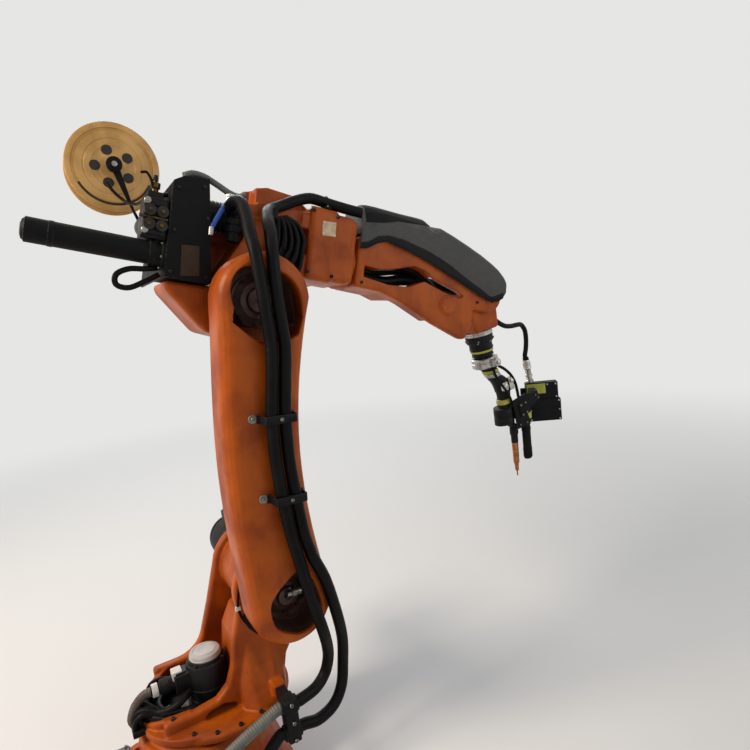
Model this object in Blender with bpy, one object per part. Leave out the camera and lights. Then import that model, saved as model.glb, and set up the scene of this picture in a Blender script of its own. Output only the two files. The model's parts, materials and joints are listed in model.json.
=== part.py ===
"""Six-axis welding robot arm: open forearm, bowed link arm, tub column, wire feeder and torch.

Metres, +Z up, the arm reaches along +X, the link arm stands on the -Y side.
Origin: centre of the base's underside.
"""

import math

import bmesh
import bpy
from mathutils import Matrix, Vector

GAP = 0.0003

# Arm lengths
SHOULDER_HEIGHT = 0.400
SHOULDER_OFFSET = 0.180
LINK_LENGTH = 0.600
ELBOW_OFFSET = 0.125
FOREARM_LENGTH = 0.620
FLANGE_DISTANCE = 0.116

# Pose that the photographed arm stands in, in degrees
LINK_LEAN = 3.0
FOREARM_DIP = 15.0
WRIST_BEND = 66.0

# Base
FOOT_SIDE = 0.324
FOOT_THICKNESS = 0.022
FOOT_HOLE_RADIUS = 0.009
FOOT_HOLE_INSET = 0.030
BASE_HEIGHT = 0.144
BASE_NECK_RADIUS = 0.130
BEARING_RADIUS = 0.112
BEARING_HEIGHT = 0.0057
BOX_TOP = 0.088
BOX_HALF_WIDTH = 0.075
BOX_SOCKET_HEIGHT = 0.062
BOX_SIDE_SOCKETS = (-0.207, -0.168)

# Rotating column
COLUMN_BOTTOM = 0.150
COLUMN_FLOOR = 0.020
COLUMN_RADIUS = 0.148
COLUMN_WALL = 0.024
FLOOR_RADIUS = 0.118
COLUMN_NEAR = -0.079
COLUMN_FAR = 0.105
COLUMN_HUB_RADIUS = 0.092
FLANGE_RING = 0.142
FLANGE_RING_X = 0.052
CLAMP_BOSS = -0.130
CLAMP_X = (0.128, 0.154)
NEAR_RIM_HEIGHT = 0.196
FAR_RIM_HEIGHT = 0.222
MOTOR_RADIUS = 0.042
MOTOR_HEIGHT = 0.092
MOTOR_X = 0.026
MOTOR_CAP_HEIGHT = 0.012
SHOULDER_MOTOR_RADIUS = 0.058
SHOULDER_MOTOR_LENGTH = 0.165

# Link arm
LINK_NEAR = -0.190
LINK_FAR = -0.085
LINK_FOOT_RADIUS = 0.085
LINK_HEAD_RADIUS = 0.091
LINK_WAIST = 0.0755
LINK_BOW = 0.030
LINK_EDGE_ROUND = 0.026
FOOT_OPENING_RADIUS = 0.043
HEAD_OPENING_RADIUS = 0.066
OPENING_DEPTH = 0.070
HUB_BOSS_RADIUS = 0.066

# Elbow
ELBOW_HALF_WIDTH = 0.070
ELBOW_HUB_RADIUS = 0.084
ELBOW_BLOCK_START = 0.115
ELBOW_BLOCK_END = 0.184
ELBOW_FRONT = 0.235
ELBOW_TOP = 0.104
ELBOW_BOTTOM = -0.055
ELBOW_HUMP_TOP = 0.128
ELBOW_REAR = -0.070
ELBOW_STEP = -0.022
ROLL_BEARING_RADIUS = 0.056
ROLL_BORE_RADIUS = 0.021
ELBOW_MOTOR_RADIUS = 0.050
ELBOW_MOTOR_LENGTH = 0.130
WRIST_MOTOR_RADIUS = 0.031
WRIST_MOTOR_LENGTH = 0.085

# Forearm
FOREARM_GAP = 0.006
FOREARM_NEAR = -0.060
FOREARM_FAR = 0.056
POD_INNER = -0.044
FOREARM_EDGE_ROUND = 0.006
WRIST_NOSE_RADIUS = 0.062
COVER_PROUD = 0.008
COVER_TOP = 0.148

# Wrist and tool
HAND_HALF_WIDTH = 0.036
HAND_RADIUS = 0.050
HAND_SOCKET_HEIGHT = 0.086
HAND_SOCKET_FACE = 0.052
FLANGE_RADIUS = 0.0388
FLANGE_THICKNESS = 0.012
SENSOR_CAN_RADIUS = 0.038
SENSOR_CAN_LENGTH = 0.055
COLLAR_RADIUS = 0.035
COLLAR_LENGTH = 0.028

# Feeder
PLATE = 0.004
BRACKET_BACK = -0.168
BRACKET_SIDE = -0.076
SENSOR_TURN = 38.0
SENSOR_PLACE = (-0.186, 0.004, 0.263)
SENSOR_TOP = -0.060
SENSOR_FRONT = -0.015
SENSOR_SOCKET = (0.030, 0.002)
PLUG_TOP = 0.128
SPOOL_RADIUS = 0.100
SPOOL_WIDTH = 0.055
SPOOL_CORE_RADIUS = 0.055
SPOOL_PLACE = (-0.252, 0.160)
SPOOL_NEAR_SIDE = 0.240
BOOM_RADIUS = 0.022
BOOM_END = -0.400

# Hoses
HOSE_RADIUS = 0.012
THIN_HOSE_RADIUS = 0.007
GLAND_PLACE = (-0.046, -0.0690)
GLAND_FOOT = -0.012
GLAND_TOP = 0.033
ARM_HOSE_START = (0.041, -0.0665, 0.080)
ARM_HOSE_LEAD = (0.012, 0.003, 0.008)
ARM_HOSE_SPLIT = 0.168
TORCH_CABLE_RADIUS = 0.0135
TORCH_CABLE_END = FOREARM_LENGTH - 0.080

ROUND = 32


def clear_scene():
    for obj in list(bpy.data.objects):
        bpy.data.objects.remove(obj)


def paint(name, colour, roughness, metallic=0.0):
    material = bpy.data.materials.get(name)
    if material:
        return material
    material = bpy.data.materials.new(name)
    material.use_nodes = True
    shader = material.node_tree.nodes["Principled BSDF"]
    shader.inputs["Base Color"].default_value = (*colour, 1.0)
    shader.inputs["Roughness"].default_value = roughness
    shader.inputs["Metallic"].default_value = metallic
    return material


def orange():
    return paint("orange_paint", (0.78, 0.16, 0.02), 0.38)


def black_plastic():
    return paint("black_plastic", (0.02, 0.02, 0.022), 0.5)


def dark_cover():
    return paint("dark_cover", (0.06, 0.06, 0.062), 0.45)


def bare_steel():
    return paint("bare_steel", (0.55, 0.55, 0.54), 0.3, 1.0)


def hose_rubber():
    return paint("hose_rubber", (0.015, 0.015, 0.017), 0.6)


def empty(name, parent, location, turn=0.0):
    """A joint's frame: turned about Y by degrees, in its parent's frame."""
    obj = bpy.data.objects.new(name, None)
    bpy.context.scene.collection.objects.link(obj)
    obj.parent = parent
    obj.location = location
    obj.rotation_euler = (0.0, math.radians(turn), 0.0)
    return obj


def shaded(obj):
    obj.data.shade_smooth()
    obj.data.set_sharp_from_angle(angle=math.radians(32))
    return obj


def part(name, mesh, parent, material):
    mesh.name = name
    obj = bpy.data.objects.new(name, mesh)
    bpy.context.scene.collection.objects.link(obj)
    obj.parent = parent
    mesh.materials.append(material)
    return shaded(obj)


def to_mesh(bm):
    bmesh.ops.recalc_face_normals(bm, faces=bm.faces)
    mesh = bpy.data.meshes.new("shape")
    bm.to_mesh(mesh)
    bm.free()
    return mesh


def block(low, high):
    bm = bmesh.new()
    bmesh.ops.create_cube(bm, size=1.0)
    low, high = Vector(low), Vector(high)
    for vert in bm.verts:
        vert.co = low + Vector([(c + 0.5) * s for c, s in zip(vert.co, high - low)])
    return to_mesh(bm)


def prism(outline, low, high):
    """An outline of (x, z) points pushed along Y from low to high."""
    bm = bmesh.new()
    face = bm.faces.new([bm.verts.new((x, low, z)) for x, z in outline])
    pushed = bmesh.ops.extrude_face_region(bm, geom=[face])
    for item in pushed["geom"]:
        if isinstance(item, bmesh.types.BMVert):
            item.co.y = high
    return to_mesh(bm)


AXES = {
    "x": Matrix(((0, 0, 1), (1, 0, 0), (0, 1, 0))),
    "y": Matrix(((1, 0, 0), (0, 0, 1), (0, -1, 0))),
    "z": Matrix.Identity(3),
}


def turned(profile, axis, centre=(0.0, 0.0, 0.0), steps=ROUND):
    """A solid of revolution: (radius, height) points from the bottom to the top, about an axis."""
    bm = bmesh.new()
    rings = []
    for radius, height in profile:
        if radius < 1e-6:
            rings.append([bm.verts.new((0.0, 0.0, height))])
            continue
        angles = [2 * math.pi * k / steps for k in range(steps)]
        rings.append([bm.verts.new((radius * math.cos(a), radius * math.sin(a), height)) for a in angles])
    for low, high in zip(rings, rings[1:]):
        for k in range(steps):
            corners = [low[k % len(low)], low[(k + 1) % len(low)], high[(k + 1) % len(high)],
                high[k % len(high)]]
            bm.faces.new(dict.fromkeys(corners))
    if len(rings[0]) > 1:
        bm.faces.new(rings[0][::-1])
    if len(rings[-1]) > 1:
        bm.faces.new(rings[-1])
    turn = AXES[axis]
    for vert in bm.verts:
        vert.co = turn @ vert.co + Vector(centre)
    return to_mesh(bm)


def disc(radius, low, high, axis, centre=(0.0, 0.0, 0.0), steps=ROUND, edge=0.0):
    """A round bar along an axis, its ends chamfered by edge. Low and high are measured from centre."""
    if not edge:
        return turned([(radius, low), (radius, high)], axis, centre, steps)
    profile = [(radius - edge, low), (radius, low + edge), (radius, high - edge), (radius - edge, high)]
    return turned(profile, axis, centre, steps)


def bevel(obj, width, segments=2, angle=40.0):
    modifier = obj.modifiers.new("bevel", "BEVEL")
    modifier.width = width
    modifier.segments = segments
    modifier.limit_method = "ANGLE"
    modifier.angle_limit = math.radians(angle)
    return obj


def combine(obj, mesh, operation, rounded=0.0):
    """Joins a shape to an object or cuts it out, with a hidden helper in the same frame."""
    helper = bpy.data.objects.new(f"{obj.name}_{operation.lower()}", mesh)
    bpy.context.scene.collection.objects.link(helper)
    helper.parent = obj.parent
    helper.hide_render = True
    helper.display_type = "WIRE"
    if rounded:
        bevel(helper, rounded)
    modifier = obj.modifiers.new(operation.lower(), "BOOLEAN")
    modifier.operation = operation
    modifier.object = helper
    return obj


def join(obj, mesh, rounded=0.0):
    return combine(obj, mesh, "UNION", rounded)


def cut(obj, mesh, rounded=0.0):
    return combine(obj, mesh, "DIFFERENCE", rounded)


def arc(centre, radius, start, end, steps):
    """Points on an arc, from start to end in degrees, counted from +X towards +Z."""
    angles = [math.radians(start + (end - start) * k / steps) for k in range(steps + 1)]
    return [(centre[0] + radius * math.cos(a), centre[1] + radius * math.sin(a)) for a in angles]


def smooth_route(points, spacing):
    """A Catmull-Rom curve through the points, read at even steps. Its ends point along the first and last pair."""
    points = [Vector(p) for p in points]
    ends = [2 * points[0] - points[1], *points, 2 * points[-1] - points[-2]]
    fine = []
    for a, b, c, d in zip(ends, ends[1:], ends[2:], ends[3:]):
        for k in range(12):
            t = k / 12
            fine.append(
                0.5 * (2 * b + (c - a) * t + (2 * a - 5 * b + 4 * c - d) * t * t + (3 * b - a - 3 * c + d) * t**3)
            )
    fine.append(points[-1])
    length = sum((q - p).length for p, q in zip(fine, fine[1:]))
    count = max(3, round(length / spacing))
    route, walked, step = [fine[0]], 0.0, length / count
    for p, q in zip(fine, fine[1:]):
        piece = (q - p).length
        while len(route) < count and walked + piece >= step * len(route):
            route.append(p + (q - p) * ((step * len(route) - walked) / piece))
        walked += piece
    route.append(points[-1])
    route[1] = points[0] + (points[1] - points[0]).normalized() * step
    route[-2] = points[-1] + (points[-2] - points[-1]).normalized() * step
    return route


def hose(name, points, radius, parent, material=None):
    """A plain round hose through hand-picked points."""
    curve = bpy.data.curves.new(name, "CURVE")
    curve.dimensions = "3D"
    curve.bevel_depth = radius
    curve.bevel_resolution = 2
    curve.use_fill_caps = True
    route = smooth_route(points, 2.6 * radius)
    spline = curve.splines.new("POLY")
    spline.points.add(len(route) - 1)
    for point, place in zip(spline.points, route):
        point.co = (*place, 1.0)
    obj = bpy.data.objects.new(name, curve)
    bpy.context.scene.collection.objects.link(obj)
    obj.parent = parent
    curve.materials.append(material or hose_rubber())
    return obj


def rounded_square(half, corner, height, per_corner=6):
    """Points round a square with rounded corners, all with the same count."""
    points = []
    for quarter in range(4):
        turn = math.radians(90 * quarter)
        cx, cy = half - corner, half - corner
        for k in range(per_corner + 1):
            a = math.radians(90 * k / per_corner)
            x, y = cx + corner * math.cos(a), cy + corner * math.sin(a)
            points.append(
                (x * math.cos(turn) - y * math.sin(turn), x * math.sin(turn) + y * math.cos(turn), height)
            )
    return points


def lofted(rings):
    bm = bmesh.new()
    rings = [[bm.verts.new(p) for p in ring] for ring in rings]
    count = len(rings[0])
    for low, high in zip(rings, rings[1:]):
        for k in range(count):
            bm.faces.new((low[k], low[(k + 1) % count], high[(k + 1) % count], high[k]))
    bm.faces.new(rings[0][::-1])
    bm.faces.new(rings[-1])
    return to_mesh(bm)


def base_frame(frame):
    """The fixed casting: a square bolted foot that draws in to a round neck."""
    half = FOOT_SIDE / 2
    levels = [
        (half, 0.035, 0.0),
        (half, 0.035, FOOT_THICKNESS - 0.003),
        (half - 0.003, 0.032, FOOT_THICKNESS),
        (BASE_NECK_RADIUS + 0.014, 0.092, FOOT_THICKNESS),
        (BASE_NECK_RADIUS + 0.003, BASE_NECK_RADIUS - 0.012, FOOT_THICKNESS + 0.022),
        (BASE_NECK_RADIUS, BASE_NECK_RADIUS - 0.012, 0.070),
        (BASE_NECK_RADIUS, BASE_NECK_RADIUS - 0.001, BASE_HEIGHT - 0.010),
        (BASE_NECK_RADIUS - 0.006, BASE_NECK_RADIUS - 0.007, BASE_HEIGHT),
    ]
    rings = [rounded_square(*level) for level in levels]
    obj = part("base_frame", lofted(rings), frame, orange())
    join(obj, disc(BEARING_RADIUS, -0.020, BEARING_HEIGHT, "z", (0, 0, BASE_HEIGHT), 48))
    reach = half - FOOT_HOLE_INSET
    for sx in (-1, 1):
        for sy in (-1, 1):
            hole = disc(FOOT_HOLE_RADIUS, -0.01, FOOT_THICKNESS + 0.03, "z", (sx * reach, sy * reach, 0),
                32)
            cut(obj, hole)
    return obj


def junction_box(frame):
    """The connector box bolted to the back of the base."""
    front = -BASE_NECK_RADIUS - 0.016
    low = (front - 0.085, -BOX_HALF_WIDTH, FOOT_THICKNESS + 0.014)
    high = (front, BOX_HALF_WIDTH, BOX_TOP)
    obj = part("junction_box", block(low, high), frame, dark_cover())
    bevel(obj, 0.006)
    join(obj, block((front - 0.012, -0.040, 0.0705), (-BASE_NECK_RADIUS - GAP, 0.040, high[2] - 0.0055)))
    for y, radius in ((-0.042, 0.017), (0.008, 0.017), (0.048, 0.012)):
        join(obj, disc(radius, -0.020, 0.01, "x", (low[0], y, BOX_SOCKET_HEIGHT), 20))
    for x in BOX_SIDE_SOCKETS:
        join(obj, disc(HOSE_RADIUS + 0.004, -BOX_HALF_WIDTH - 0.014, -BOX_HALF_WIDTH + 0.01, "y",
            (x, 0, BOX_SOCKET_HEIGHT), 20))
    return obj


def up_column(height):
    """Moves a height drawn for the 400 mm shoulder with the shoulder, from the column's foot."""
    return COLUMN_BOTTOM + (height - COLUMN_BOTTOM) * (SHOULDER_HEIGHT - COLUMN_BOTTOM) / 0.250


def near_wall_outline():
    """Side view of the column's near wall: hub, steep rear edge, rim band that ends in a rear leg."""
    hub = (SHOULDER_OFFSET, SHOULDER_HEIGHT)
    rear = -COLUMN_RADIUS * 0.56
    outline = arc(hub, COLUMN_HUB_RADIUS, -30, 195, 20)
    outline += [(0.072, up_column(0.310)), (0.062, up_column(0.255)), (0.048, NEAR_RIM_HEIGHT + 0.024)]
    outline += [(0.024, NEAR_RIM_HEIGHT + 0.004), (-0.022, NEAR_RIM_HEIGHT - 0.002),
        (rear, NEAR_RIM_HEIGHT)]
    outline += [(rear, COLUMN_BOTTOM), (COLUMN_RADIUS * 0.80, COLUMN_BOTTOM)]
    outline += [(0.168, COLUMN_BOTTOM + 0.030), (0.182, up_column(0.240))]
    return outline


def near_arch():
    """The arched window under the rim band."""
    top = NEAR_RIM_HEIGHT - 0.008
    outline = [(-0.006, COLUMN_BOTTOM - 0.02), (-0.006, top - 0.014), (0.006, top - 0.004), (0.036, top)]
    outline += [(0.056, top - 0.006), (0.068, top - 0.018), (0.072, COLUMN_BOTTOM - 0.02)]
    return prism(outline, COLUMN_NEAR - 0.01, COLUMN_NEAR + COLUMN_WALL + 0.01)


def front_skirt():
    """The front of the casting: it spreads from the shoulder into a rounded tip on the round foot."""
    levels = [
        (COLUMN_BOTTOM + 0.010, 0.080, 0.150, -0.124), (COLUMN_BOTTOM + 0.022, 0.0715, 0.170, -0.122),
        (up_column(0.200), 0.0715, 0.176, -0.106), (up_column(0.245), 0.0715, 0.180, -0.090),
        (up_column(0.300), 0.078, 0.184, -0.080), (up_column(0.345), 0.100, 0.186, -0.074),
    ]
    rings = []
    for height, rear, front, near in levels:
        far, cut_back = -near * 0.82, 0.022
        rings.append([
            (rear, near + cut_back, height), (rear + cut_back, near, height), (front - 0.034, near,
                height),
            (front - 0.010, near + 0.016, height), (front, near + 0.040, height), (front, far - 0.040,
                height),
            (front - 0.010, far - 0.016, height), (front - 0.034, far, height), (rear + cut_back, far,
                height),
            (rear, far - cut_back, height),
        ])
    return lofted(rings)


def far_wall_outline():
    hub = (SHOULDER_OFFSET, SHOULDER_HEIGHT)
    outline = arc(hub, COLUMN_HUB_RADIUS, -30, 170, 18)
    outline += [(0.062, up_column(0.330))]
    outline += arc((-0.020, FAR_RIM_HEIGHT + 0.062), 0.062, -18, -90, 5)
    outline += [(-COLUMN_RADIUS * 0.50, FAR_RIM_HEIGHT), (-COLUMN_RADIUS * 0.50, COLUMN_BOTTOM)]
    outline += [(COLUMN_RADIUS * 0.74, COLUMN_BOTTOM), (0.168, COLUMN_BOTTOM + 0.030),
        (0.182, up_column(0.240))]
    return outline


def rotating_column(frame):
    """The swivelling casting: a tub open to the rear and top, with two cheeks that carry the shoulder."""
    near = prism(near_wall_outline(), COLUMN_NEAR, COLUMN_NEAR + COLUMN_WALL)
    obj = part("rotating_column", near, frame, orange())
    bevel(obj, 0.006)
    cut(obj, near_arch(), 0.003)
    far = prism(far_wall_outline(), COLUMN_FAR - COLUMN_WALL, COLUMN_FAR)
    join(obj, far, 0.006)
    floor = [(FLOOR_RADIUS - 0.006, 0.0), (FLOOR_RADIUS, 0.006), (FLOOR_RADIUS, COLUMN_FLOOR)]
    join(obj, turned(floor, "z", (0, 0, COLUMN_BOTTOM), 48))
    join(obj, rear_tub_wall())
    join(obj, front_skirt(), 0.008)
    flange = [(FLANGE_RING - 0.004, 0.0), (FLANGE_RING, 0.004), (FLANGE_RING, 0.014),
        (FLANGE_RING - 0.004, 0.018)]
    join(obj, turned(flange, "z", (FLANGE_RING_X, 0, COLUMN_BOTTOM), 48))
    join(obj, block((CLAMP_X[0], CLAMP_BOSS, 0.183), (CLAMP_X[1], COLUMN_NEAR, 0.212)), 0.003)
    shoulder_low = COLUMN_NEAR + 0.006
    shoulder_high = COLUMN_FAR - 0.006
    hub = (SHOULDER_OFFSET, 0, SHOULDER_HEIGHT)
    join(obj, disc(0.078, shoulder_low, shoulder_high, "y", hub, ROUND))
    join(obj, disc(HUB_BOSS_RADIUS, LINK_FAR + 0.003 + GAP, COLUMN_NEAR + 0.01, "y", hub, ROUND))
    return obj


def rear_tub_wall():
    """The rear of the tub: a curved wall from the near to the far cheek, lowest where the cables leave."""
    bm = bmesh.new()
    steps = 18
    thick = 0.014
    reach = COLUMN_RADIUS * 0.66
    rows = []
    for k in range(steps + 1):
        angle = math.radians(95 + 170 * k / steps)
        rim = FAR_RIM_HEIGHT + (NEAR_RIM_HEIGHT - FAR_RIM_HEIGHT) * k / steps
        rim -= 0.030 * math.sin(math.pi * k / steps) ** 2
        row = []
        for inset, height in (
            (thick, COLUMN_BOTTOM + 0.004),
            (0.002, COLUMN_BOTTOM + 0.004),
            (-0.002, rim - 0.004),
            (0.001, rim),
            (thick, rim),
        ):
            x = -0.020 + (reach - inset) * math.cos(angle)
            row.append(bm.verts.new((x, 0.013 + (0.084 - inset) * math.sin(angle), height)))
        rows.append(row)
    count = len(rows[0])
    for a, b in zip(rows, rows[1:]):
        for k in range(count):
            bm.faces.new((a[k], a[(k + 1) % count], b[(k + 1) % count], b[k]))
    bm.faces.new(rows[0][::-1])
    bm.faces.new(rows[-1])
    return to_mesh(bm)


def swivel_motor(frame):
    """The upright motor that stands in the tub."""
    foot = COLUMN_BOTTOM + COLUMN_FLOOR + GAP
    obj = part("a1_motor", disc(MOTOR_RADIUS, 0, MOTOR_HEIGHT, "z", (MOTOR_X, 0, foot), edge=0.003),
        frame, black_plastic())
    plug = block((MOTOR_X - 0.070, -0.018, foot + 0.040), (MOTOR_X - 0.030, 0.018, foot + 0.078))
    join(obj, plug, 0.004)
    cap_low = foot + MOTOR_HEIGHT + GAP
    profile = [(0.033, 0.0), (0.033, MOTOR_CAP_HEIGHT - 0.003), (0.028, MOTOR_CAP_HEIGHT)]
    cap = part("a1_motor_cap", turned(profile, "z", (MOTOR_X, 0, cap_low)), frame,
        paint("pale_cap", (0.6, 0.6, 0.58), 0.5))
    return obj, cap


def swivel_motor_plug(frame):
    """The round cable plug on the motor's socket, and its bend."""
    foot = COLUMN_BOTTOM + COLUMN_FLOOR + GAP
    z = foot + 0.059
    profile = [(0.014, 0.0), (0.016, 0.004), (0.016, 0.024), (0.012, 0.030), (0.010, 0.046)]
    x = MOTOR_X - 0.070 - GAP
    mesh = turned([(r, -h) for r, h in reversed(profile)], "x", (x, 0, z), 20)
    return part("a1_motor_plug", mesh, frame, black_plastic())


def shoulder_motor(frame):
    """The motor that drives the link arm, on the column's far side."""
    hub = (SHOULDER_OFFSET, COLUMN_FAR + GAP, SHOULDER_HEIGHT)
    r, length = SHOULDER_MOTOR_RADIUS, SHOULDER_MOTOR_LENGTH
    profile = [(r + 0.012, 0.0), (r + 0.012, 0.012), (r, 0.016), (r, length - 0.02), (r - 0.008, length)]
    obj = part("a2_motor", turned(profile, "y", hub), frame, black_plastic())
    y = COLUMN_FAR + length * 0.62
    box = block((SHOULDER_OFFSET - 0.024, y - 0.03, SHOULDER_HEIGHT + r - 0.012),
        (SHOULDER_OFFSET + 0.024, y + 0.03, SHOULDER_HEIGHT + r + 0.030))
    join(obj, box, 0.004)
    return obj


def column_hose_clamp(frame):
    """The arm on the column's near wall that holds both hoses clear of the base."""
    low, high = CLAMP_X
    lane = CLAMP_LANES[0][0]
    obj = part("column_hose_clamp", block((low, lane - 0.018, 0.121), (high, lane + 0.018, 0.212)), frame,
        black_plastic())
    bevel(obj, 0.004)
    join(obj, block((low + 0.002, lane, 0.185), (high - 0.002, CLAMP_BOSS - GAP, 0.210)))
    return obj


def shoulder_hoses(frame):
    """From the link arm's foot down in two open loops to the clamp on the column."""
    start = CLAMP_X[1] + 2 * GAP
    starts = [link_to_column(hose_lane(LINK_HOSE_END, side), LINK_HOSE_END) for side in (-1, 1)]
    below = [link_to_column(hose_lane(LINK_HOSE_END, side), LINK_HOSE_END - 0.02) for side in (-1, 1)]
    first = [(x, HOSE_LINE, z - 2 * GAP) for x, z in starts]
    second = [(x, HOSE_LINE, z) for x, z in below]
    (y1, z1), (y2, z2) = CLAMP_LANES
    inner = [first[0], second[0], (0.205, -0.209, 0.020), (0.222, -0.206, -0.055),
        (0.236, -0.182, -0.115)]
    inner += [(0.240, -0.160, -0.160), (0.228, -0.158, -0.195)]
    outer = [first[1], second[1], (0.244, -0.207, 0.040), (0.261, -0.194, -0.040),
        (0.276, -0.172, -0.115)]
    outer += [(0.276, -0.158, -0.180)]
    inner = inner[:2] + [(x, y, SHOULDER_HEIGHT + z) for x, y, z in inner[2:]]
    outer = outer[:2] + [(x, y, SHOULDER_HEIGHT + z) for x, y, z in outer[2:]]
    inner += [(0.203, -0.166, z1 + 0.004), (start + 0.014, y1, z1), (start, y1, z1)]
    outer += [(0.264, -0.162, z2 + 0.034), (0.238, -0.170, z2 + 0.006), (0.200, -0.176, z2 - 0.004)]
    outer += [(start + 0.014, y2, z2), (start, y2, z2)]
    return hose("shoulder_hose_inner", inner, HOSE_RADIUS, frame), hose("shoulder_hose_outer", outer,
        HOSE_RADIUS, frame)


def base_hoses(frame):
    """From the clamp on the column round the base's near side to the junction box."""
    start = CLAMP_X[0] - 2 * GAP
    end = -BOX_HALF_WIDTH - 0.014 - 2 * GAP
    (y1, z1), (y2, z2) = CLAMP_LANES
    x2, x1 = BOX_SIDE_SOCKETS
    z = BOX_SOCKET_HEIGHT
    inner = [(start, y1, z1), (start - 0.014, y1, z1), (0.05, -0.180, 0.174), (-0.04, -0.180, 0.136),
        (-0.115, -0.160, 0.096)]
    inner += [(-0.158, -0.128, 0.068), (x1, end - 0.012, z), (x1, end, z)]
    outer = [(start, y2, z2), (start - 0.014, y2, z2), (0.06, -0.190, 0.112), (-0.04, -0.195, 0.082),
        (-0.130, -0.182, 0.062)]
    outer += [(-0.196, -0.140, z), (x2, end - 0.012, z), (x2, end, z)]
    return hose("base_hose_inner", inner, HOSE_RADIUS, frame), hose("base_hose_outer", outer, HOSE_RADIUS,
        frame)


def link_half_width(t):
    """Half width at t, 0 at the shoulder and 1 at the elbow: wide at both hubs, slim between."""
    ends = LINK_FOOT_RADIUS + (LINK_HEAD_RADIUS - LINK_FOOT_RADIUS) * t
    return ends + (LINK_WAIST - ends) * math.sin(math.pi * t) ** 0.8


def link_centre(t):
    """The bow: the middle of the link arm leans towards the rear."""
    return -LINK_BOW * math.sin(math.pi * t)


def link_outline():
    steps = 16
    outline = arc((0, LINK_LENGTH), LINK_HEAD_RADIUS, 0, 180, 16)
    for k in range(1, steps):
        t = 1 - k / steps
        outline.append((link_centre(t) - link_half_width(t), LINK_LENGTH * t))
    outline += arc((0, 0), LINK_FOOT_RADIUS, 180, 360, 16)
    for k in range(1, steps):
        t = k / steps
        outline.append((link_centre(t) + link_half_width(t), LINK_LENGTH * t))
    return outline


def head_opening():
    """The elbow end's opening: an arch whose lower lip comes down to a shallow V."""
    r, height = HEAD_OPENING_RADIUS, LINK_LENGTH
    outline = arc((0.002, height - 0.010), r, 0, 180, 16)
    outline += [(-r - 0.003, height - 0.038), (-0.046, height - 0.060), (-0.018, height - 0.082)]
    outline += [(0.023, height - 0.084), (0.057, height - 0.070), (r + 0.003, height - 0.040)]
    return prism(outline, LINK_NEAR - 0.01, LINK_NEAR + OPENING_DEPTH)


def link_arm(frame):
    """The bowed casting between shoulder and elbow, open at both hubs on its outer face."""
    obj = part("link_arm", prism(link_outline(), LINK_NEAR, LINK_FAR), frame, orange())
    bevel(obj, LINK_EDGE_ROUND, 4, 60)
    cut(obj, head_opening())
    cut(obj, disc(FOOT_OPENING_RADIUS, LINK_NEAR - 0.01, LINK_NEAR + OPENING_DEPTH, "y"))
    join(obj, disc(HUB_BOSS_RADIUS, LINK_FAR - 0.01, LINK_FAR + 0.003, "y"))
    return obj


def hub_cover(name, frame, height, radius):
    """The dark gear cover that shows at the bottom of an opening."""
    y = LINK_NEAR + OPENING_DEPTH - GAP
    profile = [(radius, y), (radius, y - 0.008), (radius * 0.55, y - 0.014), (radius * 0.5, y - 0.024)]
    mesh = turned(profile[::-1], "y", (0, 0, height))
    return part(name, mesh, frame, paint("gear_cover", (0.05, 0.03, 0.025), 0.5, 0.3))


def hose_clip(name, frame, height, centre):
    """A cast foot with a clamp bar over the two hoses."""
    y = LINK_NEAR - GAP
    low = (centre - 0.0365, y - 0.008, height - 0.011)
    obj = part(name, block(low, (centre + 0.0365, y, height + 0.011)), frame, black_plastic())
    bevel(obj, 0.002)
    for side in (-1, 1):
        x = centre + side * 0.031
        join(obj, block((x - 0.0033, y - 0.036, height - 0.009), (x + 0.0033, y - 0.004, height + 0.009)))
    join(obj, block((centre - 0.0355, y - 0.040, height - 0.010), (centre + 0.0355, y - 0.0343,
        height + 0.010)))
    return obj


HOSE_LINE = LINK_NEAR - 0.0215
LINK_HOSE_END = 0.118
LINK_HOSE_TOP = LINK_LENGTH - 0.095
CLAMP_LANES = ((-0.175, 0.194), (-0.175, 0.138))
CLIPS = {"hose_clip_upper": LINK_LENGTH * 0.6333, "hose_clip_lower": LINK_LENGTH * 0.3767}


def clip_centre(height):
    t = height / LINK_LENGTH
    return link_centre(t) + 0.034 - 0.015 * math.sin(math.pi * (t - 0.2) / 1.1)


def hose_lane(height, side):
    return clip_centre(height) + side * (HOSE_RADIUS + 0.0011)


def link_to_column(x, z):
    """A point of the link arm's side view, as the column sees it in the pose at rest."""
    lean = math.radians(LINK_LEAN)
    return (
        SHOULDER_OFFSET + x * math.cos(lean) + z * math.sin(lean),
        SHOULDER_HEIGHT - x * math.sin(lean) + z * math.cos(lean),
    )


def link_hoses(frame):
    """Two hoses laid side by side along the link arm's outer face."""
    heights = [LINK_LENGTH * share for share in (0.7333, 0.6333, 0.5, 0.3767, 0.275)]
    made = []
    for side, name in ((-1, "link_hose_rear"), (1, "link_hose_front")):
        top, end = (hose_lane(h, side) for h in (LINK_HOSE_TOP, LINK_HOSE_END))
        points = [(top, HOSE_LINE, LINK_HOSE_TOP), (top, HOSE_LINE, LINK_HOSE_TOP - 0.016)]
        points += [(hose_lane(h, side), HOSE_LINE, h) for h in heights]
        points += [(end, HOSE_LINE, LINK_HOSE_END + 0.016), (end, HOSE_LINE, LINK_HOSE_END)]
        made.append(hose(name, points, HOSE_RADIUS, frame))
    return made


def elbow_outline():
    """Side view of the elbow housing, in the forearm's frame with the roll axis along X."""
    drop = -ELBOW_OFFSET
    outline = [(ELBOW_BLOCK_START + 0.02, -0.046), (0.105, -0.060)]
    outline += arc((0, drop), ELBOW_HUB_RADIUS, 10, -115, 12)
    outline += [(-0.080, -0.196), (-0.162, -0.124), (-0.165, -0.108), (ELBOW_REAR, -0.104)]
    outline += [(ELBOW_REAR, 0.072), (-0.052, 0.084), (0.030, 0.086), (ELBOW_BLOCK_START + 0.02, 0.088)]
    return outline


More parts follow.
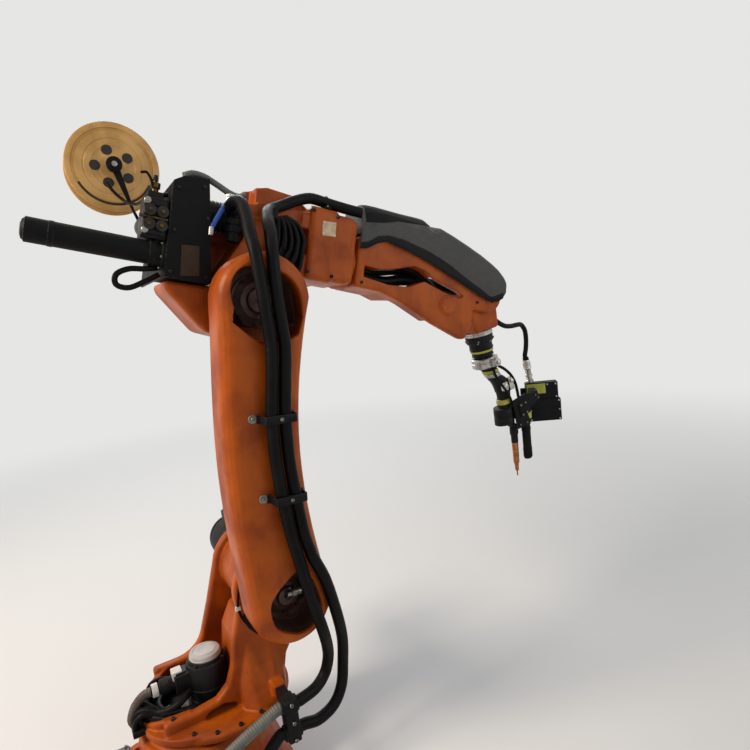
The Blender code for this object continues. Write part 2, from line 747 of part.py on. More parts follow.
def elbow_hump():
    """The cast housing of the roll drive, higher than the rest on the far side."""
    outline = [(-0.060, 0.05), (-0.056, 0.080), (-0.012, 0.116), (0.028, ELBOW_HUMP_TOP)]
    outline += [(0.090, ELBOW_HUMP_TOP - 0.003), (ELBOW_BLOCK_START + 0.02, ELBOW_TOP - 0.006),
        (ELBOW_BLOCK_START + 0.02, 0.05)]
    return prism(outline, -0.028, ELBOW_HALF_WIDTH - 0.006)


def elbow_housing(frame):
    """The elbow casting: hub, hump, and the square nose that carries the forearm's bearing."""
    obj = part("elbow_housing", prism(elbow_outline(), -ELBOW_HALF_WIDTH + 0.008, ELBOW_HALF_WIDTH),
        frame, orange())
    bevel(obj, 0.009, 2, 25)
    w = ELBOW_HALF_WIDTH
    join(obj, elbow_hump(), 0.010)
    nose = block((ELBOW_BLOCK_START, -w, ELBOW_BOTTOM), (ELBOW_BLOCK_END, w - 0.002, ELBOW_TOP))
    join(obj, nose, 0.010)
    ring = block((ELBOW_BLOCK_END - 0.01, -w + 0.005, ELBOW_BOTTOM + 0.004),
        (0.224, w - 0.007, ELBOW_TOP - 0.005))
    join(obj, ring, 0.009)
    lip = block((0.214, -w + 0.009, ELBOW_BOTTOM + 0.008), (ELBOW_FRONT, w - 0.011, ELBOW_TOP - 0.009))
    join(obj, lip, 0.008)
    join(obj, disc(0.072, LINK_FAR + 0.003 + GAP, -w + 0.02, "y", (0, 0, -ELBOW_OFFSET)))
    cut(obj, block((-0.034, -w - 0.01, 0.050), (0.098, -0.050, 0.12)), 0.004)
    step = ELBOW_STEP
    corner = [(-0.20, -0.100), (-0.20, 0.16), (0.003, 0.16), (0.003, 0.080), (step, 0.075), (step, 0.004),
        (-0.0725, -0.0995)]
    cut(obj, prism(corner, -w - 0.01, 0.0135), 0.004)
    join(obj, disc(ROLL_BEARING_RADIUS, ELBOW_FRONT - 0.02, ELBOW_FRONT + FOREARM_GAP - GAP, "x"))
    cut(obj, disc(ROLL_BORE_RADIUS, -0.08, ELBOW_FRONT + 0.02, "x", steps=20))
    cut(obj, block((0.098, -w - 0.01, -0.004), (ELBOW_BLOCK_START + 0.001, -w + 0.035, 0.052)))
    return obj


def elbow_motor(frame):
    y = ELBOW_HALF_WIDTH + GAP
    r, length = ELBOW_MOTOR_RADIUS, ELBOW_MOTOR_LENGTH
    profile = [(r + 0.010, 0.0), (r + 0.010, 0.010), (r, 0.014), (r, length - 0.016), (r - 0.007, length)]
    obj = part("a3_motor", turned(profile, "y", (0, y, -ELBOW_OFFSET)), frame, black_plastic())
    box = block((-0.02, y + 0.05, -ELBOW_OFFSET + r - 0.010), (0.02, y + 0.10, -ELBOW_OFFSET + r + 0.026))
    join(obj, box, 0.004)
    return obj


def wrist_motors(frame):
    """The three small motors that look out of the elbow's rear face."""
    places = {"a4_motor": (-0.0230, 0.040), "a5_motor": (0.041, 0.040), "a6_motor": (0.041, -0.040)}
    made = []
    for name, (y, z) in places.items():
        start = ELBOW_STEP if y < 0 else ELBOW_REAR
        r, length = WRIST_MOTOR_RADIUS, WRIST_MOTOR_LENGTH + start - ELBOW_REAR
        profile = [(r - 0.004, -length), (r, -length + 0.006), (r, 0.0)]
        made.append(part(name, turned(profile, "x", (start - GAP, y, z), 24), frame, black_plastic()))
    return made


def feeder_bracket(frame):
    """Folded black plate: a side cheek beside the motors and a back plate that reaches the spool."""
    side = BRACKET_SIDE
    outline = [(BRACKET_BACK, -0.1035), (-0.079, -0.1035), (-0.104, 0.096), (-0.150, 0.090),
        (BRACKET_BACK, 0.078)]
    obj = part("feeder_bracket", prism(outline, side - PLATE, side), frame, black_plastic())
    join(obj, block((BRACKET_BACK - 0.0005, side - PLATE + 0.0005, -0.1025),
        (BRACKET_BACK + PLATE, 0.228, 0.077)))
    join(obj, block((BRACKET_BACK + 0.001, side - 0.002, -0.1036), (-0.082, 0.050, -0.1036 + PLATE)))
    return obj


def wire_drive(frame):
    """The feed head on the back plate: gearbox, four rollers and the pressure arm."""
    back = BRACKET_BACK - 0.0005 - GAP
    obj = part("wire_drive", block((back - 0.046, -0.070, -0.036), (back, -0.018, 0.040)), frame,
        black_plastic())
    bevel(obj, 0.004)
    for x in (-0.034, -0.012):
        for z in (-0.012, 0.014):
            join(obj, disc(0.0105, -0.080, -0.060, "y", (back + x, 0, z), 16))
    join(obj, block((back - 0.040, -0.066, 0.036), (back - 0.012, -0.030, 0.072)), 0.003)
    join(obj, disc(0.022, -0.02, 0.060, "y", (back - 0.024, 0, 0.002), 24))
    return obj


def feeder_boom(frame):
    """The stout tube that runs back from the bracket."""
    start = BRACKET_BACK - 0.0005 - GAP
    profile = [(BOOM_RADIUS * 0.7, BOOM_END), (BOOM_RADIUS, BOOM_END + 0.004), (BOOM_RADIUS, start)]
    return part("feeder_boom", turned(profile, "x", (0, -0.050, -0.0605), 24), frame, black_plastic())


def spool_arm(frame):
    """The flat arm from the back plate to the spool's hub, with the hub's spindle."""
    x, z = SPOOL_PLACE
    near = SPOOL_NEAR_SIDE - 0.020
    root = (BRACKET_BACK - 0.0005 - GAP, 0.020)
    width = 0.014
    outline = [(root[0], root[1] - width), (root[0], root[1] + width)]
    outline += arc((x, z), width, 35, 215, 8)
    obj = part("spool_arm", prism(outline, near, near + 0.006), frame, black_plastic())
    join(obj, block((root[0] - 0.006, near - 0.040, root[1] - width), (root[0], near + 0.003,
        root[1] + width)))
    join(obj, disc(0.012, near + 0.002, SPOOL_NEAR_SIDE + SPOOL_WIDTH + 0.010, "y", (x, 0, z), 20))
    return obj


def wire_spool(frame):
    """A 200 mm wire spool: two flanges with round holes, and the wound wire between."""
    x, z = SPOOL_PLACE
    flange = 0.0045
    core, rim = SPOOL_CORE_RADIUS, SPOOL_RADIUS
    wound = rim - 0.012
    width = SPOOL_WIDTH
    outer = [(rim, 0.0), (rim, flange), (wound, flange + 0.002), (wound, width - flange - 0.002)]
    outer += [(rim, width - flange), (rim, width)]
    obj = part("wire_spool", turned(outer, "y", (x, SPOOL_NEAR_SIDE, z), 40), frame,
        paint("spool_plastic", (0.62, 0.44, 0.2), 0.4))
    cut(obj, disc(0.0128, -0.01, width + 0.01, "y", (x, SPOOL_NEAR_SIDE, z), 20))
    for k in range(4):
        a = math.radians(40 + 90 * k)
        hole = (x + 0.037 * math.cos(a), SPOOL_NEAR_SIDE, z + 0.037 * math.sin(a))
        cut(obj, disc(0.0095, -0.01, 0.014, "y", hole, 14))
    return obj


def forearm_outline():
    """Side view of the open forearm: collar, upper beam to the wrist and the sagging lower beam."""
    start = ELBOW_FRONT + FOREARM_GAP
    top = [(start, 0.066), (0.330, 0.074), (0.400, 0.066), (0.500, 0.030), (0.570, 0.012)]
    nose = arc((FOREARM_LENGTH, 0.0), WRIST_NOSE_RADIUS, 62, -35, 8)
    inner = [(0.640, -0.052), (0.590, -0.050)]
    lobe = [(0.592, -0.090), (0.576, -0.128), (0.560, -0.131)]
    bottom = [(0.522, -0.120), (0.469, -0.104), (0.420, -0.085), (0.373, -0.067), (0.314, -0.051),
        (start, -0.050)]
    drawn = top + [(x - FOREARM_LENGTH + 0.620, z) for x, z in nose] + inner + lobe + bottom
    return [(down_arm(x), z) for x, z in drawn]


def see_through():
    """The long opening between the beams."""
    outline = [(0.262, 0.002), (0.300, 0.000), (0.348, 0.010), (0.397, 0.026), (0.425, 0.022),
        (0.473, 0.001)]
    outline += [(0.530, -0.012), (0.556, -0.022), (0.540, -0.030), (0.505, -0.024), (0.470, -0.016)]
    outline += [(0.430, -0.006), (0.388, -0.026), (0.331, -0.031), (0.262, -0.024)]
    return prism([(down_arm(x), z) for x, z in outline], FOREARM_NEAR - 0.02, FOREARM_FAR + 0.02)


def forearm_casting(frame):
    """The open forearm: both beams grow out of one collar. Past the dome it is a plate on the near side."""
    obj = part("forearm_casting", prism(forearm_outline(), FOREARM_NEAR, FOREARM_FAR), frame, orange())
    bevel(obj, FOREARM_EDGE_ROUND, 2, 25)
    cut(obj, see_through())
    end = FOREARM_LENGTH + 0.20
    cut(obj, block((down_arm(0.300), -0.018, -0.030), (end, FOREARM_FAR + 0.02, 0.20)))
    cut(obj, block((down_arm(0.455), POD_INNER, -0.20), (end, FOREARM_FAR + 0.02, 0.20)))
    taper = [(0.345, -0.20), (0.345, -0.0605), (0.475, -0.040), (0.475, -0.20)]
    cut(obj, prism([(down_arm(x), z) for x, z in taper[::-1]], -0.018, FOREARM_FAR + 0.02))
    cut(obj, disc(ROLL_BORE_RADIUS, 0.20, 0.33, "x", steps=20))
    join(obj, disc(0.024, FOREARM_NEAR - 0.004, FOREARM_NEAR + 0.004, "y", (down_arm(0.505), 0, -0.052),
        24))
    return obj


def down_arm(along):
    """Moves a place drawn for the 620 mm forearm with its length, from the elbow's front."""
    return ELBOW_FRONT + (along - ELBOW_FRONT) * (FOREARM_LENGTH - ELBOW_FRONT) / 0.385


def cover_sections():
    """Along the arm: (place, lower edge, top of the upright band, crest, crest's side place, far side)."""
    start = ELBOW_FRONT + FOREARM_GAP + 0.001
    wide, pod = FOREARM_FAR + 0.004, POD_INNER - 0.004
    top, mid = COVER_TOP, -0.010
    rows = [(start, 0.036, 0.050, top - 0.006, mid, wide), (0.262, 0.040, 0.056, top - 0.001, mid, wide)]
    rows += [(0.285, 0.056, 0.072, top, mid, wide), (0.310, 0.065, 0.079, top, mid, wide)]
    rows += [(0.350, 0.059, 0.078, top, mid, wide), (0.400, 0.048, 0.070, top + 0.002, mid, wide)]
    rows += [(0.422, 0.043, 0.066, top + 0.002, mid, wide),
        (0.442, 0.037, 0.061, top - 0.010, -0.018, wide - 0.012)]
    rows += [(0.462, 0.031, 0.056, 0.133, pod - 0.004, pod),
        (0.500, 0.020, 0.043, 0.124, pod - 0.004, pod)]
    rows += [(0.550, 0.003, 0.022, 0.110, pod - 0.004, pod),
        (0.600, -0.013, 0.004, 0.094, pod - 0.004, pod)]
    rows += [(0.636, -0.022, -0.010, 0.080, pod - 0.004, pod),
        (0.662, -0.019, 0.000, 0.067, pod - 0.004, pod)]
    rows += [(0.680, -0.006, 0.012, 0.052, pod - 0.006, pod),
        (0.688, 0.008, 0.018, 0.040, pod - 0.008, pod)]
    return [(down_arm(row[0]), *row[1:]) for row in rows]


def forearm_cover(frame):
    """The moulded cover: an upright band, and above it a dome behind and a sloping pod beside the wrist."""
    near = FOREARM_NEAR - COVER_PROUD
    steps = 5
    rings = []
    for along, low, band, crest, crest_y, far in cover_sections():
        ring = [(along, near, low), (along, near, band)]
        for side in (near, far):
            turns = [(k + 1) / (steps + 1) for k in range(steps)]
            for t in turns if side == near else turns[::-1]:
                a = math.radians(90 * t)
                y = crest_y + (side - crest_y) * math.cos(a) ** 0.8
                ring.append((along, y, band + (crest - band) * math.sin(a) ** 0.9))
            if side == near:
                ring.append((along, crest_y, crest))
        ring += [(along, far, band), (along, far, low)]
        rings.append(ring[::-1])
    return part("forearm_cover", lofted(rings), frame, dark_cover())


def grown(outline, distance):
    """The outline moved outwards by a distance."""
    moved = []
    for k, (x, z) in enumerate(outline):
        before, after = Vector(outline[k - 1]), Vector(outline[(k + 1) % len(outline)])
        along = (after - before).normalized()
        moved.append((x - along.y * distance, z + along.x * distance))
    return moved


def fit_cover_over(casting, cover):
    """Takes the casting's own shape, with a small clearance, out of the cover's inside."""
    cut(cover, prism(grown(forearm_outline(), 6 * GAP), FOREARM_NEAR - GAP, FOREARM_FAR + 0.02))
    return casting


def wrist_hand(frame):
    """The tilting hand: a rounded cheek on the tilt axis that necks down to the tool flange."""
    down = FLANGE_DISTANCE - FLANGE_THICKNESS - 2 * GAP
    r = HAND_RADIUS
    body = arc((0, 0), r, 180, 360, 14)
    body += [(0.047, 0.050), (0.040, down), (-0.040, down), (-0.047, 0.050)]
    near = POD_INNER + 0.0005
    obj = part("wrist_hand", prism(body, near, HAND_HALF_WIDTH), frame, orange())
    bevel(obj, 0.007, 2, 25)
    join(obj, disc(0.0095, -HAND_SOCKET_FACE, -0.030, "x", (0, 0, HAND_SOCKET_HEIGHT), 16))
    return obj


def tool_flange(frame):
    t = FLANGE_THICKNESS
    profile = [(FLANGE_RADIUS, -t), (FLANGE_RADIUS, -0.002), (FLANGE_RADIUS - 0.002, 0.0)]
    return part("tool_flange", turned(profile, "z"), frame, bare_steel())


def breakaway_sensor(frame):
    """The tapered black breakaway mount under the flange."""
    r = SENSOR_CAN_RADIUS
    profile = [(r, GAP), (r, 0.016), (r - 0.005, 0.020), (0.026, SENSOR_CAN_LENGTH + 0.008)]
    return part("breakaway_mount", turned(profile, "z"), frame, black_plastic())


def clamp_collar(frame):
    """The split clamp with its screw boss, and the ring below it."""
    low = SENSOR_CAN_LENGTH + 0.008 + GAP
    obj = part("clamp_collar", disc(COLLAR_RADIUS, low, low + COLLAR_LENGTH, "z", edge=0.003), frame,
        bare_steel())
    z = low + COLLAR_LENGTH / 2
    join(obj, disc(0.012, -0.052, -0.020, "y", (-0.004, 0, z), 20))
    return obj


def torch_body(frame):
    """The torch's neck: it steps forward from the clamp to the nozzle line."""
    top = SENSOR_CAN_LENGTH + 0.008 + COLLAR_LENGTH + 2 * GAP
    rings = [
        (-0.008, top, 0.027), (-0.009, top + 0.008, 0.027), (-0.012, top + 0.010, 0.021),
        (-0.020, top + 0.034, 0.020), (-0.036, top + 0.052, 0.024), (-0.044, top + 0.080, 0.024),
        (-0.042, top + 0.104, 0.019), (-0.036, top + 0.130, 0.019), (-0.032, top + 0.132, 0.0285),
        (-0.026, top + 0.178, 0.0285), (-0.040, top + 0.182, 0.014), (-0.055, top + 0.200, 0.012),
    ]
    steps = 20
    loops = []
    for x, z, r in rings:
        loops.append([(x + r * math.cos(2 * math.pi * k / steps), r * math.sin(2 * math.pi * k / steps),
            z) for k in range(steps)])
    return part("torch_body", lofted(loops), frame, black_plastic())


def torch_nozzle(frame):
    """The brass gas nozzle with its contact tip, hanging plumb below the torch."""
    top = SENSOR_CAN_LENGTH + 0.008 + COLLAR_LENGTH + 0.200 + 3 * GAP
    rings = [(0.0, 0.0115), (0.022, 0.0115), (0.026, 0.0095), (0.105, 0.0085), (0.128, 0.0055),
        (0.130, 0.0022), (0.145, 0.0018)]
    steps = 16
    loops = []
    for along, r in rings:
        x = -0.055 + along * 0.155
        loops.append([(x + r * math.cos(2 * math.pi * k / steps), r * math.sin(2 * math.pi * k / steps),
            top + along) for k in range(steps)])
    return part("torch_nozzle", lofted(loops), frame, paint("brass", (0.6, 0.33, 0.16), 0.35, 1.0))


def tool_bracket(frame):
    """The black plate that carries the second tube and the sensor box."""
    outline = [(-0.042, 0.200), (-0.092, 0.186), (-0.146, 0.196), (-0.146, 0.230), (-0.104, 0.240)]
    outline += [(-0.090, 0.292), (-0.042, 0.290)]
    obj = part("tool_bracket", prism(outline, -0.034, -0.028), frame, black_plastic())
    bevel(obj, 0.0015)
    join(obj, block((-0.080, -0.030, 0.225), (-0.0606, 0.012, 0.268)), 0.002)
    join(obj, sensor_block((0.020, -0.068, -0.048), (0.040, SENSOR_FRONT - GAP, -0.024)))
    lean = math.tan(math.radians(90 - FOREARM_DIP - WRIST_BEND))
    tube, steps = [], 16
    for height in (0.246, 0.392):
        middle = -0.093 + (height - 0.246) * lean
        turns = [2 * math.pi * k / steps for k in range(steps)]
        tube.append([(middle + 0.013 * math.cos(a), -0.018 + 0.013 * math.sin(a), height) for a in turns])
    join(obj, lofted(tube))
    return obj


def sensor_point(x, y, z):
    """A point of the sensor box's own frame, turned towards the seam, its edges plumb at rest."""
    lean = math.radians(90 - FOREARM_DIP - WRIST_BEND)
    turn = Matrix.Rotation(lean, 3, "Y") @ Matrix.Rotation(math.radians(SENSOR_TURN), 3, "Z")
    return turn @ Vector((x, y, z)) + Vector(SENSOR_PLACE)


def sensor_block(low, high):
    mesh = block(low, high)
    for vert in mesh.vertices:
        vert.co = sensor_point(*vert.co)
    return mesh


def sensor_box(frame):
    """The seam-tracking box: two stepped halves in front of the torch."""
    upper = sensor_block((-0.046, SENSOR_FRONT, SENSOR_TOP), (0.046, 0.019, 0.004))
    obj = part("sensor_box", upper, frame, black_plastic())
    bevel(obj, 0.003)
    join(obj, sensor_block((-0.052, SENSOR_FRONT - 0.004, -0.010), (0.042, 0.023, 0.055)), 0.003)
    join(obj, sensor_block((0.036, -0.006, -0.045), (0.062, 0.006, -0.020)))
    return obj


def sensor_plug(frame):
    x, y, seat = sensor_point(*SENSOR_SOCKET, SENSOR_TOP)
    foot = seat - 0.0014 - GAP
    profile = [(0.0095, PLUG_TOP), (0.0115, PLUG_TOP + 0.006), (0.0115, PLUG_TOP + 0.030)]
    profile += [(0.008, PLUG_TOP + 0.036), (0.008, foot)]
    return part("sensor_plug", turned(profile, "z", (x, y, 0), 16), frame, bare_steel())


def sensor_hose(frame):
    """The sleeve from the hand across to the sensor's plug."""
    z = HAND_SOCKET_HEIGHT - FLANGE_DISTANCE
    x, y, _ = sensor_point(*SENSOR_SOCKET, SENSOR_TOP)
    points = [(-HAND_SOCKET_FACE - 2 * GAP, 0, z), (-HAND_SOCKET_FACE - 0.010, 0, z)]
    points += [(-0.080, 0.002, z + 0.018), (-0.104, 0.006, z + 0.034), (-0.130, 0.011, z + 0.042)]
    points += [(-0.156, 0.016, z + 0.046), (-0.176, 0.021, z + 0.051), (-0.188, y, z + 0.062)]
    points += [(-0.192, y, z + 0.078), (-0.189, y, z + 0.104), (-0.181, y, z + 0.128)]
    points += [(x, y, PLUG_TOP - 0.014), (x, y, PLUG_TOP - 2 * GAP)]
    return hose("sensor_hose", points, THIN_HOSE_RADIUS, frame)


def torch_cable(frame):
    """The torch's cable, through the roll axis and the open forearm into the hand."""
    points = [(0.10, 0.0, 0.0), (0.20, 0.0, 0.0), (0.26, 0.0, -0.006), (0.333, 0.0, -0.0163),
        (0.40, 0.0, -0.004)]
    points = [(down_arm(x) if x > ELBOW_FRONT else x, y, z) for x, y, z in points]
    points += [(down_arm(0.46), 0.0, 0.004), (TORCH_CABLE_END - 0.025, 0.0, 0.0),
        (TORCH_CABLE_END, 0.0, 0.0)]
    return hose("torch_cable", points, TORCH_CABLE_RADIUS, frame)


def wrist_cable(frame):
    """The torch cable's last stretch, into the hand."""
    start, end = TORCH_CABLE_END + 2 * GAP, FOREARM_LENGTH - HAND_RADIUS - 0.0015
    return hose("wrist_cable", [(start, 0, 0), ((start + end) / 2, 0, 0), (end, 0, 0)],
        TORCH_CABLE_RADIUS, frame)


def elbow_to_link(x, y, z):
    """A point of the elbow's frame, as the link arm sees it in the pose at rest."""
    turn = math.radians(FOREARM_DIP - LINK_LEAN)
    z += ELBOW_OFFSET
    return (x * math.cos(turn) + z * math.sin(turn), y,
        LINK_LENGTH - x * math.sin(turn) + z * math.cos(turn))


def elbow_hoses(frame):
    """From the link arm's face over the elbow's axis: one curls down into the gland, one lies over the top."""
    top, y = LINK_HOSE_TOP, HOSE_LINE
    over = [(-0.020, y, 0.008), (-0.023, -0.206, 0.082), (-0.022, -0.190, 0.114), (-0.018, -0.165, 0.148)]
    over += [(-0.015, -0.138, 0.177), (-0.018, -0.112, 0.191), (-0.022, -0.080, 0.186)]
    rear = [(hose_lane(top, -1), y, top + 2 * GAP), (hose_lane(top, -1), y, top + 0.016)]
    rear += [(px, py, LINK_LENGTH + pz) for px, py, pz in over]
    gland_x, gland_y = GLAND_PLACE
    rear += [elbow_to_link(gland_x, gland_y, GLAND_TOP + above) for above in (0.010, 2 * GAP)]
    over = [(0.008, y, 0.007), (0.010, -0.203, 0.082), (0.024, -0.172, 0.122)]
    over += [(0.037, -0.132, 0.152), (0.054, -0.095, 0.176)]
    front = [(hose_lane(top, 1), y, top + 2 * GAP), (hose_lane(top, 1), y, top + 0.016)]
    front += [(px, py, LINK_LENGTH + pz) for px, py, pz in over]
    start, lead = Vector(ARM_HOSE_START), Vector(ARM_HOSE_LEAD)
    front += [elbow_to_link(*(start - lead * back)) for back in (1.0, 0.05)]
    return hose("elbow_hose_rear", rear, HOSE_RADIUS, frame), hose("elbow_hose_front", front, HOSE_RADIUS,
        frame)


def elbow_cable_loop(frame):
    """A flat bundle of cables on the elbow's near face, swung forward round the hub."""
    near, far = -0.102, -ELBOW_HALF_WIDTH + 0.008 - GAP
    outline = [(0.024, 0.058), (0.062, 0.054), (0.084, 0.032), (0.097, 0.000), (0.097, -0.030),
        (0.086, -0.054)]
    outline += [(0.070, -0.034), (0.048, -0.014), (0.026, -0.004)]
    obj = part("elbow_cable_loop", prism(outline, near, near + 0.028), frame, hose_rubber())
    bevel(obj, 0.010, 3)
    join(obj, disc(0.012, near + 0.014, far, "y", (0.046, 0, 0.028), 16))
    join(obj, disc(0.010, near + 0.014, far, "y", (0.082, 0, -0.030), 16))
    return obj


def hose_gland(frame):
    """The screwed gland in the pocket of the elbow's near side."""
    r = HOSE_RADIUS
    foot, top = GLAND_FOOT + GAP, GLAND_TOP
    profile = [(r + 0.0015, foot), (r + 0.0015, foot + 0.014), (r + 0.003, foot + 0.016),
        (r + 0.003, top - 0.012), (r + 0.001, top)]
    x, y = GLAND_PLACE
    obj = part("hose_gland", turned(profile, "z", (x, y, 0), 20), frame, black_plastic())
    join(obj, block((x, y - 0.009, 0.012), (ELBOW_STEP - GAP, y + 0.009, 0.026)))
    return obj


def arm_hose(frame):
    """The hose that lies over the elbow, its clip, and the stretch that enters the cover."""
    y, z = -0.050, ELBOW_TOP + HOSE_RADIUS + 0.0025
    split = ARM_HOSE_SPLIT
    lead = Vector(ARM_HOSE_START) + Vector(ARM_HOSE_LEAD)
    points = [ARM_HOSE_START, lead, (0.079, -0.060, 0.103), (0.112, -0.054, z), (0.145, y, z + 0.001),
        (split, y, z)]
    hose("arm_hose", points, HOSE_RADIUS, frame)
    hose("cover_hose", [(split + 2 * GAP, y, z), (0.205, y, z), (ELBOW_FRONT + FOREARM_GAP, y, z)],
        HOSE_RADIUS, frame)
    low, high = split - 0.022, split - 0.008
    reach = HOSE_RADIUS + 0.0012
    foot = ELBOW_TOP + GAP
    clip = part("arm_hose_clip",
        block((low, y - reach - 0.003, foot),
        (high, y - reach, z + reach + 0.0025)), frame, black_plastic())
    join(clip, block((low, y + reach, foot), (high, y + reach + 0.003, z + reach + 0.0025)))
    join(clip, block((low, y - reach - 0.0025, z + reach + 0.001), (high, y + reach + 0.0025,
        z + reach + 0.0035)))
    join(clip, block((low, y + reach + 0.002, foot), (high, y + reach + 0.012, foot + 0.003)))
    return clip


def build():
    clear_scene()
    world = empty("base_origin", None, (0, 0, 0))
    swivel = empty("axis_a1", world, (0, 0, 0))
    shoulder = empty("axis_a2", swivel, (SHOULDER_OFFSET, 0, SHOULDER_HEIGHT), LINK_LEAN)
    elbow = empty("axis_a3", shoulder, (0, 0, LINK_LENGTH), FOREARM_DIP - LINK_LEAN)
    roll = empty("axis_a4", elbow, (0, 0, ELBOW_OFFSET))
    tilt = empty("axis_a5", roll, (FOREARM_LENGTH, 0, 0), 90 + WRIST_BEND)
    spin = empty("axis_a6", tilt, (0, 0, FLANGE_DISTANCE))
    base_frame(world)
    junction_box(world)
    rotating_column(swivel)
    swivel_motor(swivel)
    swivel_motor_plug(swivel)
    shoulder_motor(swivel)
    column_hose_clamp(swivel)
    shoulder_hoses(swivel)
    base_hoses(world)
    link_arm(shoulder)
    hub_cover("a2_gear_cover", shoulder, 0.0, FOOT_OPENING_RADIUS - 0.001)
    hub_cover("a3_gear_cover", shoulder, LINK_LENGTH, HEAD_OPENING_RADIUS - 0.0125)
    for name, height in CLIPS.items():
        hose_clip(name, shoulder, height, clip_centre(height))
    link_hoses(shoulder)
    elbow_housing(roll)
    elbow_motor(roll)
    wrist_motors(roll)
    feeder_bracket(roll)
    wire_drive(roll)
    feeder_boom(roll)
    spool_arm(roll)
    wire_spool(roll)
    hose_gland(roll)
    arm_hose(roll)
    elbow_cable_loop(roll)
    casting = forearm_casting(roll)
    cover = forearm_cover(roll)
    fit_cover_over(casting, cover)
    torch_cable(roll)
    wrist_cable(roll)
    wrist_hand(tilt)
    tool_flange(spin)
    breakaway_sensor(spin)
    clamp_collar(spin)
    torch_body(spin)
    torch_nozzle(spin)
    tool_bracket(spin)
    sensor_box(spin)
    sensor_plug(spin)
    sensor_hose(spin)
    elbow_hoses(shoulder)


build()
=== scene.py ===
# Six-axis welding robot arm with an open forearm, a wire feeder on its elbow and a bent torch.
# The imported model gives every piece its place; this script gives the finishes and the fine pieces.
import json
import math

import bmesh
import bpy
from mathutils import Matrix, Vector
from mathutils.bvhtree import BVHTree

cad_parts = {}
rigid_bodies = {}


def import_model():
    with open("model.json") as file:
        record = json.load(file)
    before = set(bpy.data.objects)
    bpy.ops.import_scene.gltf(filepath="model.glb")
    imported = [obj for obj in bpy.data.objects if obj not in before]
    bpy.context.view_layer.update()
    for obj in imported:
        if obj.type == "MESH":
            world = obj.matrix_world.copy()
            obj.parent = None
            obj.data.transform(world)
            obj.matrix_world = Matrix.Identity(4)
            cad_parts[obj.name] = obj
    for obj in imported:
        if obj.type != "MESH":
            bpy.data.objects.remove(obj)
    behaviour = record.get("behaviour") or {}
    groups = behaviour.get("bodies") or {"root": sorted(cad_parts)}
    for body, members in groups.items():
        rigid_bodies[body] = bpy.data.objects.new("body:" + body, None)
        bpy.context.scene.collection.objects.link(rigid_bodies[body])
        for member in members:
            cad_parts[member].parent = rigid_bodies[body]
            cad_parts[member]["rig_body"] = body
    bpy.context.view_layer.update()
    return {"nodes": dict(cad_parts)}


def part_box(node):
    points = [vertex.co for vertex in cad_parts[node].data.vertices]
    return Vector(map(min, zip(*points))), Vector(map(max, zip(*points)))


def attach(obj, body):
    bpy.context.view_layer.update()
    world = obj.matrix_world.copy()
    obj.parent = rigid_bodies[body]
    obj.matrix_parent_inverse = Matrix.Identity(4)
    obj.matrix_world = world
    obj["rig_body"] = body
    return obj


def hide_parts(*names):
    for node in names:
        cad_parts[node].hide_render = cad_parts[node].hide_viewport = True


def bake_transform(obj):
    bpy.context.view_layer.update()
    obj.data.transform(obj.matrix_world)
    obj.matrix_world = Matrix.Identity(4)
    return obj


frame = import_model()
nodes = frame["nodes"]
print("frame loaded:", len(nodes), "nodes")

mm = 0.001
bpy.context.scene.view_settings.view_transform = "Standard"

# where the picture is taken from
view = {
    "place": (-0.144, -1.192, 0.983),
    "yaw": 29.26,  # degrees from +Y towards +X
    "dip": 8.0,
    "roll": 6.6,
    "lens": 26.92,  # mm
    "sensor": 36,  # mm
}

studio = {
    "floor": "#DCDCD9",
    "floorRadius": 30,
    "background": "#E6E6E4",
    "sky": "#EDF1F6",
    "skyStrength": 0.36,
    "fadeFrom": 1.3,  # metres from the middle, where the floor starts to melt into the background
    "fadeTo": 4.5,
    # name, place, aim, width, height, watts, colour
    "lamps": (
        ("keyLamp", (-2.4, 0.1, 2.7), (0.25, 0.0, 0.85), 1.3, 1.3, 108, "#FFEFE0"),
        ("fillLamp", (2.4, -2.8, 1.9), (0.4, 0.0, 0.8), 2.4, 2.0, 24, "#F2F1F4"),
        ("backLamp", (1.0, 3.0, 2.8), (0.3, 0.0, 0.9), 2.0, 2.0, 60, "#F7FAFF"),
    ),
}


def linear(hexColour):
    parts = [int(hexColour[i : i + 2], 16) / 255 for i in (1, 3, 5)]
    return tuple(c / 12.92 if c <= 0.04045 else ((c + 0.055) / 1.055) ** 2.4 for c in parts) + (1.0,)


def addNode(tree, kind, inputs=None, **settings):
    node = tree.nodes.new(kind)
    for key, value in settings.items():
        setattr(node, key, value)
    for key, value in (inputs or {}).items():
        if isinstance(value, bpy.types.NodeSocket):
            tree.links.new(value, node.inputs[key])
        else:
            node.inputs[key].default_value = value
    return node


# camera, lights and floor
def makeCamera():
    yaw, dip, roll = (math.radians(view[k]) for k in ("yaw", "dip", "roll"))
    ahead = Vector((math.sin(yaw) * math.cos(dip), math.cos(yaw) * math.cos(dip), -math.sin(dip)))
    level = Vector((math.cos(yaw), -math.sin(yaw), 0))
    over = level.cross(ahead)
    right = level * math.cos(roll) - over * math.sin(roll)
    up = level * math.sin(roll) + over * math.cos(roll)
    data = bpy.data.cameras.new("photoCamera")
    data.lens = view["lens"]
    data.sensor_width = view["sensor"]
    data.clip_start = 0.05
    data.clip_end = 2 * studio["floorRadius"]
    camera = bpy.data.objects.new("photoCamera", data)
    turn = Matrix((right, up, -ahead)).transposed().to_4x4()
    camera.matrix_world = Matrix.Translation(view["place"]) @ turn
    bpy.context.scene.collection.objects.link(camera)
    bpy.context.scene.camera = camera


